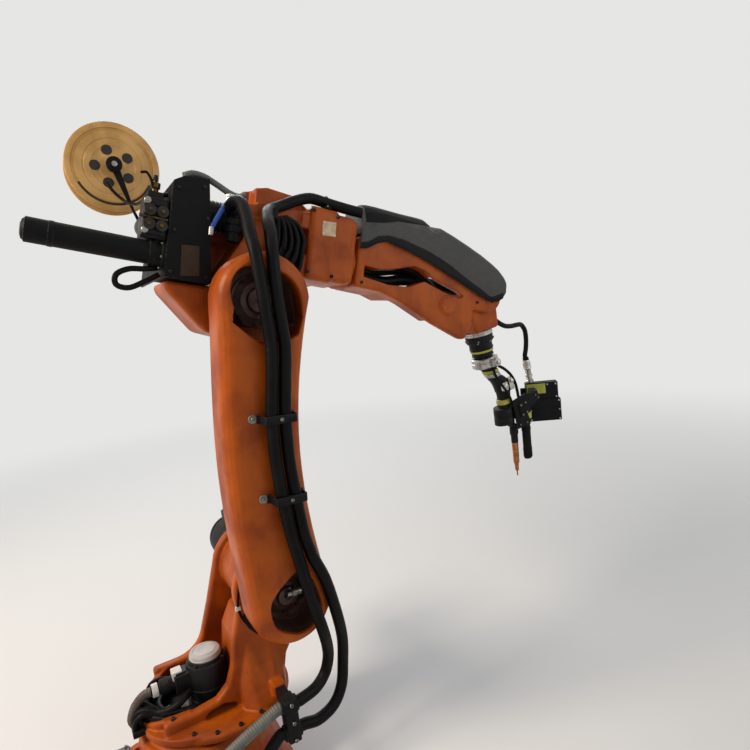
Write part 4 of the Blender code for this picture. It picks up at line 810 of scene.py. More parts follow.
# connector box behind the foot, with its sockets
def makeJunctionBox():
    build("junctionBox", "base", "gelCoatShell", [
        (box, (-231, -75, 36), (-146, 75, 84), 6, 3),
        (box, (-228, -72, 83), (-149, 72, 88), 3, 2),
        (box, (-158, -40, 70.5), (-130.4, 40, 82.5), 1.5),
        *[(lathe, ((16, -89), (16, -82), (18, -81), (18, -74)), "y", (x, 0, 62), 32) for x in (-207, -168)],
    ], "junction_box")
    build("boxSockets", "base", "mouldedNylon", [
        (lathe, (
            (radius - 4, -251), (radius - 3, -248), (radius - 3, -240), (radius, -239), (radius, -234),
            (radius + 3, -233), (radius + 3, -229),
        ), "x", (0, y, 62), 36)
        for y, radius in ((-42, 17), (8, 17), (48, 12))
    ])
    build("boxScrews", "base", "zincScrew", [
        *[(screw, (x, y, 88), upward, 7) for x in (-222, -155) for y in (-66, 66)],
        *[(screw, (-231, y, z), rearward, 6) for z in (44, 78) for y in (-68, 68)],
    ])


# places on the column in mm: its motors' axes and the clamp's two hoses
column = {
    "swivel": (26, 0, 0),
    "plug": (0, 0, 229.3),
    "shoulder": (180, 0, 400),
    "hoses": ((0, -175, 194), (0, -175, 138)),
}


def makeColumnParts():
    build("swivelMotor", "column", "motorPaint", [
        (lathe, (
            (43.5, 170.3), (43.5, 177), (41, 178.5), (41, 183), (42, 184), (42, 203), (41.2, 204), (41.2, 206),
            (42, 207), (42, 252), (40.5, 255), (37, 256), (36, 262.3),
        ), "z", column["swivel"], 56),
        (box, (-44, -18, 209), (-8, 18, 248), 4, 3),
        (box, (-40, -13, 246), (-18, 13, 252), 2.5, 2),
    ], "a1_motor")
    build("swivelMotorCap", "column", "greyAbs", [
        (lathe, (
            (33, 262.6), (33.6, 264), (33.6, 266), (32.6, 267), (32.6, 270.5), (31.4, 272.6), (28.6, 273.9),
            (25, 274.4), (24.4, 273.6), (23.2, 273.6), (22.6, 274.6),
        ), "z", column["swivel"], 64),
    ], "a1_motor_cap")
    build("swivelMotorPlug", "column", "mouldedNylon", [
        (lathe, (
            (8.5, -90.3), (11, -89), (11.6, -84), (11.6, -74), (12.6, -72.5), *ribs(12, -72, 1.6, 15.8, 16.6, 0),
            (14.4, -52), (14.4, -44.3),
        ), "x", column["plug"], 36),
    ], "a1_motor_plug")
    build("swivelPlugCollar", "column", "whiteNylon", [
        (lathe, ((12.2, -88.6), (13.6, -88), (13.6, -77), (12.2, -76.4)), "x", column["plug"], 32),
        (box, (-47, -12, 232), (-26, 12, 255), 3),
    ])
    build("swivelMotorScrews", "column", "blackScrew", [
        *[(screw, place, upward, 6, 3.4) for place in around((26, 0, 258.6), 38.2, 4, 45)],
        *[
            (box, (place[0] - 8, place[1] - 8, 170.3), (place[0] + 8, place[1] + 8, 177), 2)
            for place in around((26, 0, 177), 47, 4, 45)
        ],
    ], slot="motor_black")

    rows = [(70, 105.3), (70, 115), (69, 117), (60, 118)]
    rows += ribs(9, 121, 8, 58, 56.4, 0, 6.5)
    rows += [(58, 196), (58, 250), (55, 252), (55, 258), (57, 259), (57, 265), (53, 270)]
    build("shoulderMotor", "column", "motorPaint", [
        (lathe, rows, "y", column["shoulder"], 56),
        (box, (156, 178, 446), (204, 238, 484), 5, 3),
        (box, (160, 183, 482), (200, 233, 488), 2),
        (lathe, ((13, 236), (13, 243), (15, 244), (15, 250), (11, 252), (9, 262)), "y", (180, 0, 465), 28),
    ], "a2_motor")
    build("shoulderMotorScrews", "column", "blackScrew", [
        *[(screw, place, farSide, 8) for place in around((180, 115.6, 400), 64.5, 8, 22.5, "y")],
        *[(screw, (x, y, 488), upward, 5) for x in (165, 195) for y in (188, 228)],
    ])

    build("columnHoseClamp", "column", "mouldedNylon", [
        (slab, ((128, 121), (154, 121), (154, 212), (128, 212)), -193, -157, 5, 3),
        (box, (130.5, -176, 186), (151.5, -130.4, 209), 3, 2),
        *[
            (lathe, rows, "x", place, 28) for place in column["hoses"]
            for rows in (((15, 123.5), (16.5, 125), (16.5, 129)), ((16.5, 153), (16.5, 157), (15, 158.5)))
        ],
    ], "column_hose_clamp")
    build("hoseClampScrews", "column", "zincScrew", [
        (screw, (141, -193, z), nearSide, 8) for z in (166, 128, 205)
    ])


# thin cable on the column's near cheek, clipped beside the link arm's foot and led under a rubber boot
def makeHubCable():
    build("hubCable", "column", "rubberCover", [
        (tube, (
            (117, -81.4, 455), (109, -81.4, 441), (99, -81.4, 413), (93, -81.4, 384), (96, -81.4, 362),
            (104, -81.4, 344), (114, -81.4, 330),
        ), 2.6, 1.6, 12),
    ])
    build("hubCableBoot", "column", "mouldedNylon", [
        (slab, (
            (99, 355), (109, 371), (123, 350), (135, 323), (134, 304), (121, 312), (107, 330),
        ), -83.6, -77, 1.6, 2),
    ])
    build("hubCableClip", "column", "whiteNylon", [(box, (87.5, -84, 375), (98, -77, 384), 1.2)])


# cables that lie in the tub round the swivel motor and come out over its low rear rim
def makeTubCables():
    build("tubConduit", "column", "brownSleeve", [
        (tube, (
            (-90, 0, 229), (-102, 2, 228), (-116, 4, 218), (-128, 4, 202), (-134, 4, 184), (-130, 4, 172),
        ), 9.5, 1.3, 18, 0.9, 4.0),
    ])
    loops = (
        (
            7.2, (-20, -30, 214), (-40, -46, 212), (-62, -44, 204), (-84, -30, 198), (-104, -16, 204),
            (-122, -8, 200), (-131, -6, 184), (-128, -6, 172),
        ),
        (
            6.4, (-24, 22, 210), (-44, 44, 208), (-70, 48, 202), (-92, 34, 204), (-112, 24, 210), (-126, 22, 200),
            (-132, 20, 186), (-126, 18, 172),
        ),
        (
            7.0, (-30, -8, 186), (-52, -30, 184), (-76, -24, 188), (-96, -4, 198), (-112, 12, 206), (-127, 14, 198),
            (-134, 14, 184), (-130, 12, 172),
        ),
        (
            6.4, (10, -46, 178), (-16, -54, 180), (-44, -52, 184), (-70, -38, 187), (-92, -24, 192),
            (-112, -20, 200), (-126, -18, 192), (-131, -16, 180), (-126, -14, 170),
        ),
        (
            7.6, (24, 54, 180), (-10, 62, 180), (-40, 60, 184), (-66, 38, 188), (-80, 8, 188), (-70, -18, 184),
            (-48, -22, 180),
        ),
        (
            7.6, (70, 40, 180), (60, 62, 180), (30, 74, 182), (-10, 74, 184), (-50, 66, 188), (-84, 48, 192),
            (-106, 30, 190), (-112, 4, 184), (-100, -20, 182),
        ),
        (
            8.0, (66, -24, 180), (50, -42, 180), (20, -53, 180), (-16, -55, 181), (-50, -49, 183), (-80, -36, 186),
            (-100, -18, 188), (-112, 0, 184),
        ),
        (
            5.6, (-20, 40, 190), (-36, 62, 196), (-60, 66, 206), (-84, 54, 212), (-98, 34, 204), (-100, 10, 196),
            (-84, -8, 190),
        ),
        (5.6, (-6, -46, 186), (-24, -53, 193), (-48, -51, 197), (-70, -43, 198), (-84, -30, 195), (-88, -12, 190)),
    )
    build("tubCables", "column", "rubberCover", [(tube, loop, width, 2.4, 14, 0.15, 3.2) for width, *loop in loops])
    mat = [(-14 + 88 * math.cos(2 * math.pi * k / 48), 11 + 72 * math.sin(2 * math.pi * k / 48)) for k in range(48)]
    build("tubMat", "column", "mouldedNylon", [(slab, mat, 169.5, 173, 0.5, 1, "z")])
    build("tubCableGrommet", "column", "mouldedNylon", [(box, (-138, -26, 160), (-112, 30, 173), 4, 3)])
    build("tubConnectors", "column", "whiteNylon", [
        (box, (x - 7, y - 5, z - 4), (x + 7, y + 5, z + 6), 2)
        for x, y, z in ((-34, -36, 196), (-52, 40, 193), (-66, -20, 188))
    ])


makeJunctionBox()
makeColumnParts()
makeTubCables()
makeHubCable()
flangeRing = [(52 + x, y, 200) for x, y, _ in around((0, 0, 0), 133, 18, 10)]
seatedScrews("flangeScrews", "column", "rotating_column", flangeRing, downward, 9)
hubRing = around((180, 190, 400), 82, 8, 22.5, "y")
seatedScrews("hubScrewsFar", "column", "rotating_column", hubRing, nearSide, 9)
print("column done")


# a clamp band over the two hoses, seen from the end of the link arm: (x, y) pushed along z
def hatBand(bm, x, z, width):
    y = -190.3
    outer = [
        (-36.5, 0), (-36.5, -3), (-32.5, -3.4), (-31.5, -5), (-31.5, -34), (-29, -37.6), (29, -37.6), (31.5, -34),
        (31.5, -5), (32.5, -3.4), (36.5, -3), (36.5, 0),
    ]
    inner = [(29, 0), (29, -33), (27.5, -35.2), (-27.5, -35.2), (-29, -33), (-29, 0)]
    slab(bm, [(x + a, y + b) for a, b in outer + inner], z - width / 2, z + width / 2, 0.5, 1, axis="z")


# how far along x the two hoses' lane lies, at a height over the link arm's foot
def laneCentre(height):
    t = height / 600
    return -30 * math.sin(math.pi * t) + 34 - 15 * math.sin(math.pi * (t - 0.2) / 1.1)


def makeLinkParts():
    for name, height in (("Upper", 380), ("Lower", 226)):
        x = laneCentre(height)
        build("hoseBand" + name, "link", "mouldedNylon", [
            (hatBand, x, height, 16),
            (box, (x - 4, -226, height - 7), (x + 4, -190.4, height + 7), 1.5),
        ], "hose_clip_" + name.lower())
        build("hoseBandScrews" + name, "link", "zincScrew", [
            (screw, (x, -227.2, height), nearSide, 7, 2.9),
            (disc, (x - 44, -190.2, height + 2), nearSide, 8.5, 2.2),
            (screw, (x - 44, -192.2, height + 2), nearSide, 9),
        ])

    covers = (("footGearCover", "a2_gear_cover", 0, 42), ("headGearCover", "a3_gear_cover", 600, 53.5))
    for name, node, height, r in covers:
        rows = [
            (0.30 * r, -144), (0.42 * r, -143.4), (0.46 * r, -141), (0.48 * r, -136), (0.56 * r, -134.5),
            (0.66 * r, -133.8), (0.70 * r, -131.6), (0.86 * r, -129.6), (0.90 * r, -128), (r - 1, -127.4),
            (r, -126), (r, -120.3),
        ]
        build(name, "link", "oiledPrimer", [(lathe, rows, "y", (0, 0, height), 56)], node)
        build(name + "Screws", "link", "blackScrew", [
            *[(screw, place, nearSide, 6.5) for place in around((0, -128.3, height), 0.88 * r - 1, 8, 10, "y")],
            (lathe, ((4, -150.5), (5.5, -150), (6, -148), (6, -143.4)), "y", (0, 0, height), 6),
        ])

    # a lining in dark oily primer on the floors and walls of both pockets, which also paints the shade inside them
    for name, outline in pockets.items():
        ring = [Vector(p) for p in roundedOutline(outline)]
        middle = sum(ring, Vector((0, 0))) / len(ring)

        def inset(reach):
            return [p + (middle - p).normalized() * reach for p in ring]

        bm = bmesh.new()
        slab(bm, inset(1.6), pocketFloor - 2.4, pocketFloor + 0.3, 0.3, 1)
        rings = []
        for reach, y in ((0.9, pocketFloor - 1), (0.9, -176), (0.2, -180)):
            rings.append([bm.verts.new(Vector((q.x, y, q.y)) * mm) for q in inset(reach)])
        ringFaces(bm, rings, capped=False)
        piece(name + "Lining", bm, "link", "oiledPrimer")

    # silver cable connector at the mouth of the lower pocket
    build("footConnector", "link", "turnedSteel", [
        (lathe, (
            (4.5, -16), (6, -15), (6, -6), (8.5, -5), (8.5, 3), (7.2, 3.6), (7.2, 7), (8.5, 7.6), (8.5, 13),
            (6.5, 14),
        ), "x", (12, -154, 10), 30),
        (lathe, ((5, -144), (7, -143), (7, -138)), "y", (6, 0, 10), 20),
    ])
    build("footConnectorCable", "link", "rubberCover", [
        (tube, (
            (26, -154, 10), (34, -154, 11), (40, -150, 6), (41, -140, -4), (36, -132, -14), (24, -129, -20),
        ), 4.2, 2, 14),
    ])


makeLinkParts()
print("link arm done")


# a small servo motor on its side: flange, ribbed body, stepped end cap
def ribbedMotor(bm, rear, front, r, y, z):
    rows = [(r - 5, 0), (r - 2, 1.5), (r - 1, 5), (r - 1, 17), (r - 3, 18), (r - 3, 21), (r, 22)]
    rows = [(radius, rear + x) for radius, x in rows]
    rows += ribs(math.ceil((front - rear - 38) / 4), rear + 22, 4, r - 1.3, r, 0.4, 3.6)
    rows += [(r, front - 14), (r, front - 9), (r - 2, front - 8), (r - 2, front)]
    lathe(bm, rows, "x", (0, y, z), 44)


def makeElbowParts():
    rows = [(60, 70.3), (60, 80), (59, 82), (51, 83)]
    rows += ribs(8, 86, 7, 50, 48.6, 0, 5.5)
    rows += [(50, 150), (50, 182), (47, 184), (47, 189), (49, 190), (49, 194), (43, 200)]
    build("elbowMotor", "elbow", "motorPaint", [
        (lathe, rows, "y", (0, 0, -125), 52),
        (box, (-20, 122, -86), (20, 168, -52), 4, 3),
        (lathe, ((10, -40), (12, -38), (12, -26), (9, -20)), "x", (0, 145, -68), 26),
    ], "a3_motor")
    build("elbowMotorScrews", "elbow", "blackScrew", [
        (screw, place, farSide, 7) for place in around((0, 80.6, -125), 55, 6, 30, "y")
    ])

    motors = (
        ("rollMotor", "a4_motor", -23, 40, -22.3),
        ("tiltMotor", "a5_motor", 41, 40, -70.3),
        ("spinMotor", "a6_motor", 41, -40, -70.3),
    )
    plug = ((6.5, 0), (8, 1), (8, 8), (9.4, 9), (9.4, 16), (7.4, 18))
    for name, node, y, z, front in motors:
        build(name, "elbow", "motorPaint", [
            (ribbedMotor, -155, front, 31, y, z),
            (box, (-150, y - 13, z + 24), (-116, y + 13, z + 40), 3, 2),
        ], node)
        build(name + "Plugs", "elbow", "turnedSteel", [
            (lathe, plug, "z", (x, y, z + 38), 24) for x in (-140, -124)
        ])

    build("hoseGland", "elbow", "mouldedNylon", [
        (lathe, (
            (13.2, -11.6), (13.2, 3), (12.4, 4), (12.4, 21), (14.4, 22), (14.4, 28), (12.9, 33),
        ), "z", (-46, -69, 0), 32),
        (lathe, ((15.6, 6), (16.6, 7), (16.6, 17), (15.6, 18)), "z", (-46, -69, 0), 6),
        (box, (-46, -78, 12), (-22.3, -60, 26), 1.5),
    ], "hose_gland")

    # clip that holds the hose on the elbow's top
    low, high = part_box("arm_hose_clip")
    x, y, z = elbow.inverted() @ ((Vector(low) + Vector(high)) / 2) / mm
    angles = [math.radians(a) for a in range(-80, 81, 20)]
    arch = [(x, y + 14.6 * math.sin(a), 118.5 + 14.6 * math.cos(a)) for a in angles]
    arch = [(x, y - 15.5, 106), (x, y - 14.8, 117)] + arch + [(x, y + 14.8, 117), (x, y + 15.5, 106)]
    build("armHoseClip", "elbow", "mouldedNylon", [
        (box, (x - 8, y - 21, 104.2), (x + 8, y + 21, 108), 1.2),
        (tube, arch, 1.9, 1.5, 8),
    ], "arm_hose_clip")
    build("armHoseClipScrews", "elbow", "zincScrew", [
        (screw, (x, y + side * 18, 108), upward, 4.5) for side in (-1, 1)
    ])


# cables swung forward round the elbow's hub in two layers, over a dark backing
def makeCableLoop():
    bm = bmesh.new()
    for k, foot in enumerate((-66, -50, -40, -32, -27)):
        wide, low = 94 - 14 * k, 82 - 14 * k
        arc = (
            (26 + (wide - 26) * 0.35, 56 - k), (26 + (wide - 26) * 0.75, 46 - 1.5 * k), (wide, 20 - 2 * k),
            (wide, -4 - 1.5 * k), (wide - 3, foot + 26), (low, foot + 4),
        )
        for j, y in enumerate((-94.5, -83.5)):
            route = [(x, y + 1.6 * math.sin(k + i * 0.9), z) for i, (x, z) in enumerate(arc)]
            tube(bm, route, 5.8 if (k + j) % 2 else 5.2, 2.2, 12, 0.12, 3.0)
    slab(bm, ((27, 53), (62, 48), (84, 26), (88, -2), (78, -50), (56, -38), (28, -26)), -90, -76, 4, 2)
    tube(bm, ((46, -78, 28), (46, -66, 28), (46, -62.4, 28)), 11.5, 2, 18, 0.6, 3)
    tube(bm, ((82, -80, -30), (82, -66, -30), (82, -62.4, -30)), 9.5, 2, 18, 0.6, 3)
    piece("elbowCableLoop", bm, "elbow", "rubberCover", "elbow_cable_loop")
    build("cableLoopTies", "elbow", "mouldedNylon", [
        (box, (22, -101.5, 47), (31, -76.5, 66), 2),
        (box, (74, -100.5, -52), (90, -77, -44), 2),
    ])


def makeElbowTrim():
    build("blankPlate", "elbow", "tanPlate", [
        (slab, ((144, 43), (176, 46), (174, 77), (142, 74)), -71.6, -70.1, 0.5, 1),
    ])
    build("blankPlateRivets", "elbow", "turnedSteel", [
        (screw, (x, -71.6, z), nearSide, 3, 1.2) for x, z in ((146, 47), (173, 49), (171, 73), (145, 70))
    ])


weld = 0.00002  # metres: points nearer than this are one
spool = {
    "x": -252, "z": 160,  # its axis, in the elbow's frame
    "near": 240, "wide": 55,  # its near side, and from flange to flange
    "hub": 13, "core": 88,  # radii of the bore and of the drum under the wire
    "steps": 96,
    # profile of the near flange: radius and depth from its outer side
    "flange": (
        (13, 0), (30, 0), (31, 0.8), (46, 0.8), (47, 0), (60, 0), (61, 0.9), (63, 0.9), (64, 0), (78, 0), (79, 0),
        (80.4, 2.4), (85.6, 2.4), (87, 0), (96.5, 0), (99.3, 0.8), (99.8, 2), (99.4, 3.6), (98, 4.4), (88, 5),
    ),
    # the dark strip painted as shade in the flange's groove, over part of the rim only: its profile, and the
    # stretch of the rim it takes
    "grooveShade": ((80.6, 2.3), (81.4, 1.9), (84.8, 1.9), (85.4, 2.3)),
    "grooveShadeSteps": (4, 38),  # the stretch of the rim that it takes, in steps
    "holes": 5, "holeCircle": 38, "holeRadius": 11.5, "firstHole": 45,
}


# folded plate behind the elbow, its feed head, boom and spool arm, in the elbow's frame
feeder = {
    "plateBack": -168.8,  # the plate's rear side
    "boom": (0, -50, -60.5),  # the boom's axis
}


def makeFeeder():
    build("feederBracket", "elbow", "powderCoat", [
        (slab, ((-168, -103.5), (-79, -103.5), (-104, 96), (-150, 90), (-168, 78)), -80, -76, 1.2, 2),
        (box, (-168.5, -79.5, -102.5), (-164.2, 228, 77), 1.2, 2),
        (box, (-167, -78, -103.6), (-82, 50, -99.8), 1.2, 2),
        (box, (-164.8, -78, 70), (-150, 60, 73), 1.0),
        *[(box, (-165, 90, z), (-160, 222, z + 8), 1.0) for z in (-70, -20, 30)],
    ], "feeder_bracket")
    build("plateCover", "elbow", "brownEnamel", [
        (slab, ((-143, -39), (-110, -35), (-104, -92), (-139, -98)), -82.2, -79.6, 1.2, 2),
    ])
    build("feederBracketScrews", "elbow", "blackScrew", [
        *[
            (screw, (x, -80, z), nearSide, 6.5)
            for x, z in ((-158, -92), (-92, -92), (-158, 66), (-112, 78), (-100, 20), (-158, -14))
        ],
        *[(screw, (-168.5, y, z), rearward, 6.5) for y, z in ((-66, -90), (210, -90), (210, 64), (100, 64))],
    ])

    back, boom = feeder["plateBack"], feeder["boom"]
    build("wireDrive", "elbow", "motorPaint", [
        (box, (back - 46, -68, -36), (back, -20, 40), 4, 3),
        (box, (back - 44, -71, -32), (back - 4, -66, 30), 2.5, 2),
        (lathe, (
            (20, -20.5), (22, -18), (22, 20), (19, 22), (19, 26), (21, 28), (21, 54), (17, 59.6),
        ), "y", (back - 24, 0, 2), 40),
        (box, (back - 40, -66, 36), (back - 12, -30, 52), 3),
    ], "wire_drive")
    build("feedRollers", "elbow", "blackScrew", [
        (lathe, (
            (10.5, -80), (10.8, -79), (10.8, -77), (9.4, -76), (10.8, -75), (10.8, -72), (6, -70.5),
        ), "y", (back + x, 0, z), 30)
        for x in (-34, -12) for z in (-12, 14)
    ])
    build("wireInlet", "elbow", "dullBrass", [
        *[
            (lathe, ((3.4, -83.5), (4.2, -83), (4.2, -79.6)), "y", (back + x, 0, z), 6)
            for x in (-34, -12) for z in (-12, 14)
        ],
        (tube, ((back - 52, -75, 1), (back - 24, -75, 1), (back - 2, -75, 1)), 3.2, 2, 12),
        (lathe, ((4, 50), (6, 51), (6, 60), (8.6, 61), (8.6, 71), (7, 72)), "z", (back - 26, -48, 0), 28),
    ])
    build("feedArms", "elbow", "motorPaint", [
        (box, (back - 42, -76, 24), (back - 6, -70, 33), 1.6),
        (box, (back - 42, -76, -30), (back - 6, -70, -22), 1.6),
    ])
    build("feedLevers", "elbow", "zincScrew", [
        *[(lathe, ((5.5, -79), (6.5, -78), (6.5, -71)), "y", (back - 40, 0, z), 24) for z in (-24, 30)],
        (tube, ((back - 26, -48, 50), (back - 26, -48, 58), (back - 26, -48, 70)), 2.4, 2, 10),
    ])

    build("feederBoom", "elbow", "powderCoat", [
        (lathe, (
            (14, -400), (17, -399), (19, -396), (22, -394.5), (22, -360), (22.8, -359), (22.8, -352), (22, -351),
            (22, -196), (25, -195), (25, -186), (22.5, -185), (22.5, -176), (30, -174), (30, -168.9),
        ), "x", boom, 48),
    ], "feeder_boom")
    build("boomScrews", "elbow", "zincScrew", [
        *[(screw, place, rearward, 5) for place in around((-174.6, *boom[1:]), 26.5, 6, 15, "x")],
        (lathe, ((10, -401.5), (12, -401), (12, -399)), "x", boom, 30),
    ])

    # a slim carrier on the near side of the spool, its axle and their nuts
    x, z, near = spool["x"], spool["z"], spool["near"]
    angles = [math.radians(a) for a in range(35, 216, 20)]
    head = [(x + 9 * math.cos(a), z + 9 * math.sin(a)) for a in angles]
    build("spoolArm", "elbow", "powderCoat", [
        (slab, [(-168.8, 10), (-168.8, 30), (-188, 44)] + head, near - 20, near - 14, 1.2, 2),
        (box, (-174.8, near - 60, 7), (-168.8, near - 17, 33), 1.5),
        (lathe, ((12, near - 18), (12, near + 57), (10, near + 58)), "y", (x, 0, z), 32),
        (lathe, ((15, near - 26), (17, near - 25), (17, near - 20), (14, near - 19)), "y", (x, 0, z), 32),
    ], "spool_arm")
    bolt = ((5, near - 29), (6.6, near - 28.6), (6.6, near - 25))
    nut = ((7, near + 55.4), (19, near + 55.6), (20, near + 57), (20, near + 62.5), (17, near + 64.6))
    build("spoolArmNut", "elbow", "zincScrew", [
        (lathe, bolt, "y", (x, 0, z), 6),
        (lathe, nut, "y", (x, 0, z), 8),
    ])


def makeSpool():
    x, z, near, wide = (spool[k] for k in ("x", "z", "near", "wide"))
    centre, steps = (x, 0, z), spool["steps"]

    def mirrored(rows):  # the same flange profile on the far side
        return [(r, 2 * near + wide - y) for r, y in reversed(rows)]

    rim = [(r, near + y) for r, y in spool["flange"]]
    hub, core = spool["hub"], spool["core"]
    bm = bmesh.new()
    walls = ((hub, near + wide), (hub, near)), ((core, near + 5), (core, near + wide - 5))
    for rows in (rim, mirrored(rim), *walls):
        lathe(bm, rows, "y", centre, steps, False)
    bmesh.ops.remove_doubles(bm, verts=bm.verts, dist=weld)
    piece("wireSpool", bm, "elbow", "ochrePolystyrene", "wire_spool")

    # the wire, wound in level turns between the flanges
    rows, y = [], near + 5.2
    while y < near + wide - 5.2:
        rows += [(core + 0.4, y), (core + 1, y + 0.35), (core + 0.4, y + 0.7)]
        y += 0.74 * 1.6
    rows = [(60, near + 5.1)] + rows + [(60, near + wide - 5.1)]
    build("woundWire", "elbow", "copperNozzle", [(lathe, rows, "y", centre, 72)])

    # painted shade: a dark strip in the groove along part of each flange, and dark discs in the drive holes
    grooveShade = [(r, near + y) for r, y in spool["grooveShade"]]
    bm = bmesh.new()
    for rows in (grooveShade, mirrored(grooveShade)):
        for k in range(*spool["grooveShadeSteps"]):
            ends = [axisTurn["y"] @ Matrix.Rotation(2 * math.pi * i / steps, 3, "Z") for i in (k, k + 1)]
            corners = [
                [bm.verts.new((end @ Vector((r, 0, y)) + Vector(centre)) * mm) for end in ends] for r, y in rows
            ]
            for first, last in zip(corners, corners[1:]):
                bm.faces.new((first[0], first[1], last[1], last[0]))
    bmesh.ops.remove_doubles(bm, verts=bm.verts, dist=weld)
    for x, z, _ in around((x, z, 0), spool["holeCircle"], spool["holes"], spool["firstHole"]):
        for low, high in ((near - 0.15, near + 1.2), (near + wide - 1.2, near + wide + 0.15)):
            lathe(bm, ((spool["holeRadius"], low), (spool["holeRadius"], high)), "y", (x, 0, z), 32)
    piece("spoolHoles", bm, "elbow", "deepShade")


def makeFeederCables():
    build("wireGuide", "elbow", "rubberCover", [
        (tube, (
            (-263, 214, 114), (-252, 208, 101), (-236, 204, 88), (-218, 190, 76), (-203, 150, 69), (-196, 80, 70),
            (-194, 10, 80), (-194, -34, 88), (-195, -48, 78), (-195, -48, 66),
        ), 3.4, 2, 12),
        (tube, ((-199, -52, 60), (-205, -56, 74), (-214, -58, 84), (-224, -56, 82)), 2.6, 2, 10),
    ])
    build("feederCables", "elbow", "rubberCover", [
        (tube, (
            (-170, -44, -84), (-196, -50, -92), (-226, -54, -98), (-246, -54, -112), (-244, -52, -130),
            (-222, -50, -132), (-196, -48, -116), (-172, -46, -98),
        ), 5.4, 2, 14, 0.2, 3.2),
        (tube, (
            (-168, -26, 60), (-190, -26, 52), (-204, -30, 30), (-206, -32, -4), (-196, -30, -40), (-172, -28, -50),
        ), 4.6, 2, 14),
        (tube, ((-169, -10, 40), (-186, -12, 30), (-198, -14, 4), (-190, -14, -30), (-170, -12, -40)), 4.0, 2, 14),
    ])
    build("ribbedConduit", "elbow", "greyConduit", [
        (tube, (
            (-150, -72, 92), (-134, -68, 101), (-112, -66, 101), (-86, -66, 92), (-62, -68, 82), (-44, -70, 79),
            (-30, -74, 84),
        ), 6.6, 1.1, 16, 0.9, 4.2),
    ])
    build("blueHose", "elbow", "blueAirHose", [
        (tube, ((-62, -76, 66), (-68, -77.5, 56), (-78, -78.6, 36), (-86, -78.8, 18), (-90, -78.8, 6)), 5, 1.5, 16),
    ])
    build("hoseFittings", "elbow", "turnedSteel", [
        (lathe, ((5, 0), (7.5, 1), (7.5, 9), (9, 10), (9, 15), (7, 16)), "z", (-60, -75, 62), 6),
        (lathe, ((4.4, -14), (5.4, -13), (5.4, 2), (4.6, 3)), "z", (-91, -78.8, 4), 26),
    ])


makeElbowParts()
makeCableLoop()
makeElbowTrim()
makeFeeder()
makeSpool()
makeFeederCables()
seatedScrews("elbowScrews", "elbow", "elbow_housing", [
    (121, -95, 92), (121, -95, -40), (177, -95, -40), (177, -95, 90),
], farSide, 8)
seatedScrews("elbowTopScrews", "elbow", "elbow_housing", [
    *[(x, y, 140) for x in (128, 172) for y in (-40, 40)], (20, 30, 150), (80, 30, 150),
], downward, 8)
seatedScrews("elbowHubScrews", "elbow", "elbow_housing", [
    (x, y - 130, z) for x, y, z in around((0, 0, -125), 68, 8, 11, "y")
], farSide, 8)
print("elbow done")


# the cover's upright band, seen from the side: places along the arm, its lower and upper edge
bandRows = (
    (243, 36, 50), (262, 40, 56), (285, 56, 72), (310, 65, 79), (350, 59, 78), (400, 48, 70), (422, 43, 66),
    (442, 37, 61), (462, 31, 56), (500, 20, 43), (550, 3, 22), (600, -13, 4), (636, -22, -10), (662, -19, 0),
    (678, -8, 8),
)
lidEdge = ((252, 98), (300, 107), (338, 120), (396, 127), (436, 132))  # the lid's lower edge: along, up


def overLidEdge(x, z):
    for (x0, z0), (x1, z1) in zip(lidEdge, lidEdge[1:]):
        if x0 <= x <= x1:
            return z > z0 + (z1 - z0) * (x - x0) / (x1 - x0)
    return False


# the black dome at the cover's rear: a shell over the cover's own faces, cut clean along its edges
def makeCoverLid(thick=1.8):
    turn, back = frameOf["forearm"], frameOf["forearm"].inverted()
    bm = bmesh.new()
    bm.from_mesh(castPieces["forearm_cover"].data)
    cuts = [((x, 0, 0), (1, 0, 0)) for x, _ in lidEdge]
    cuts += [((a, 0, b), (b - d, 0, c - a)) for (a, b), (c, d) in zip(lidEdge, lidEdge[1:])]
    for place, way in cuts:
        everything = bm.verts[:] + bm.edges[:] + bm.faces[:]
        at, across = turn @ (Vector(place) * mm), turn.to_3x3() @ Vector(way)
        bmesh.ops.bisect_plane(bm, geom=everything, dist=1e-6, plane_co=at, plane_no=across)
    bare = []
    for face in bm.faces:
        x, _, z = (back @ face.calc_center_median()) / mm
        if not (lidEdge[0][0] < x < lidEdge[-1][0] and overLidEdge(x, z)):
            bare.append(face)
    bmesh.ops.delete(bm, geom=bare, context="FACES")
    for v in bm.verts:
        v.co -= v.normal * 0.0004
    bmesh.ops.solidify(bm, geom=bm.faces[:], thickness=-thick * mm)
    piece("coverLid", bm, "forearm", "blackBand", local=False)


def makeForearmParts():
    makeCoverLid()
    low = [(x, a + 0.6) for x, a, b in bandRows]
    top = [(x, b - 0.5) for x, a, b in bandRows]
    build("coverBand", "forearm", "blackBand", [(slab, low + top[::-1], -69.6, -66.2, 0.9, 2)])

    # a raised seam above the band
    build("coverSeam", "forearm", "gelCoatShell", [
        (tube, [(x, -67.6, b + 1.5) for x, a, b in bandRows[1:-1]], 1.5, 3, 8),
    ])

    # power cable beside the torch cable, seen through the forearm's opening
    build("powerCables", "forearm", "rubberCover", [
        (tube, (
            (140, -14, 22), (178, -20, 20), (206, -24, 16), (240, -26, 13), (276, -26, 16), (306, -24, 20),
            (336, -22, 22), (366, -20, 24), (396, -18, 24), (426, -16, 19), (460, -12, 4), (500, -8, -16),
        ), 12, 2, 16, 0.3, 3.4),
        (tube, (
            (140, 16, 12), (178, 18, 12), (206, 20, 12), (240, 22, 10), (280, 22, 6), (316, 20, 5), (350, 18, 12),
            (386, 16, 20), (424, 12, 20), (462, 8, 4), (500, 4, -16),
        ), 12, 2, 16, 0.3, 3.4),
    ])

    build("axisBoss", "forearm", "sprayedEnamel", [
        (disc, (505, -64.2, -52), nearSide, 19, 1.8, 40),
        (disc, (505, -65.8, -52), nearSide, 13, 1.0, 36),
    ])


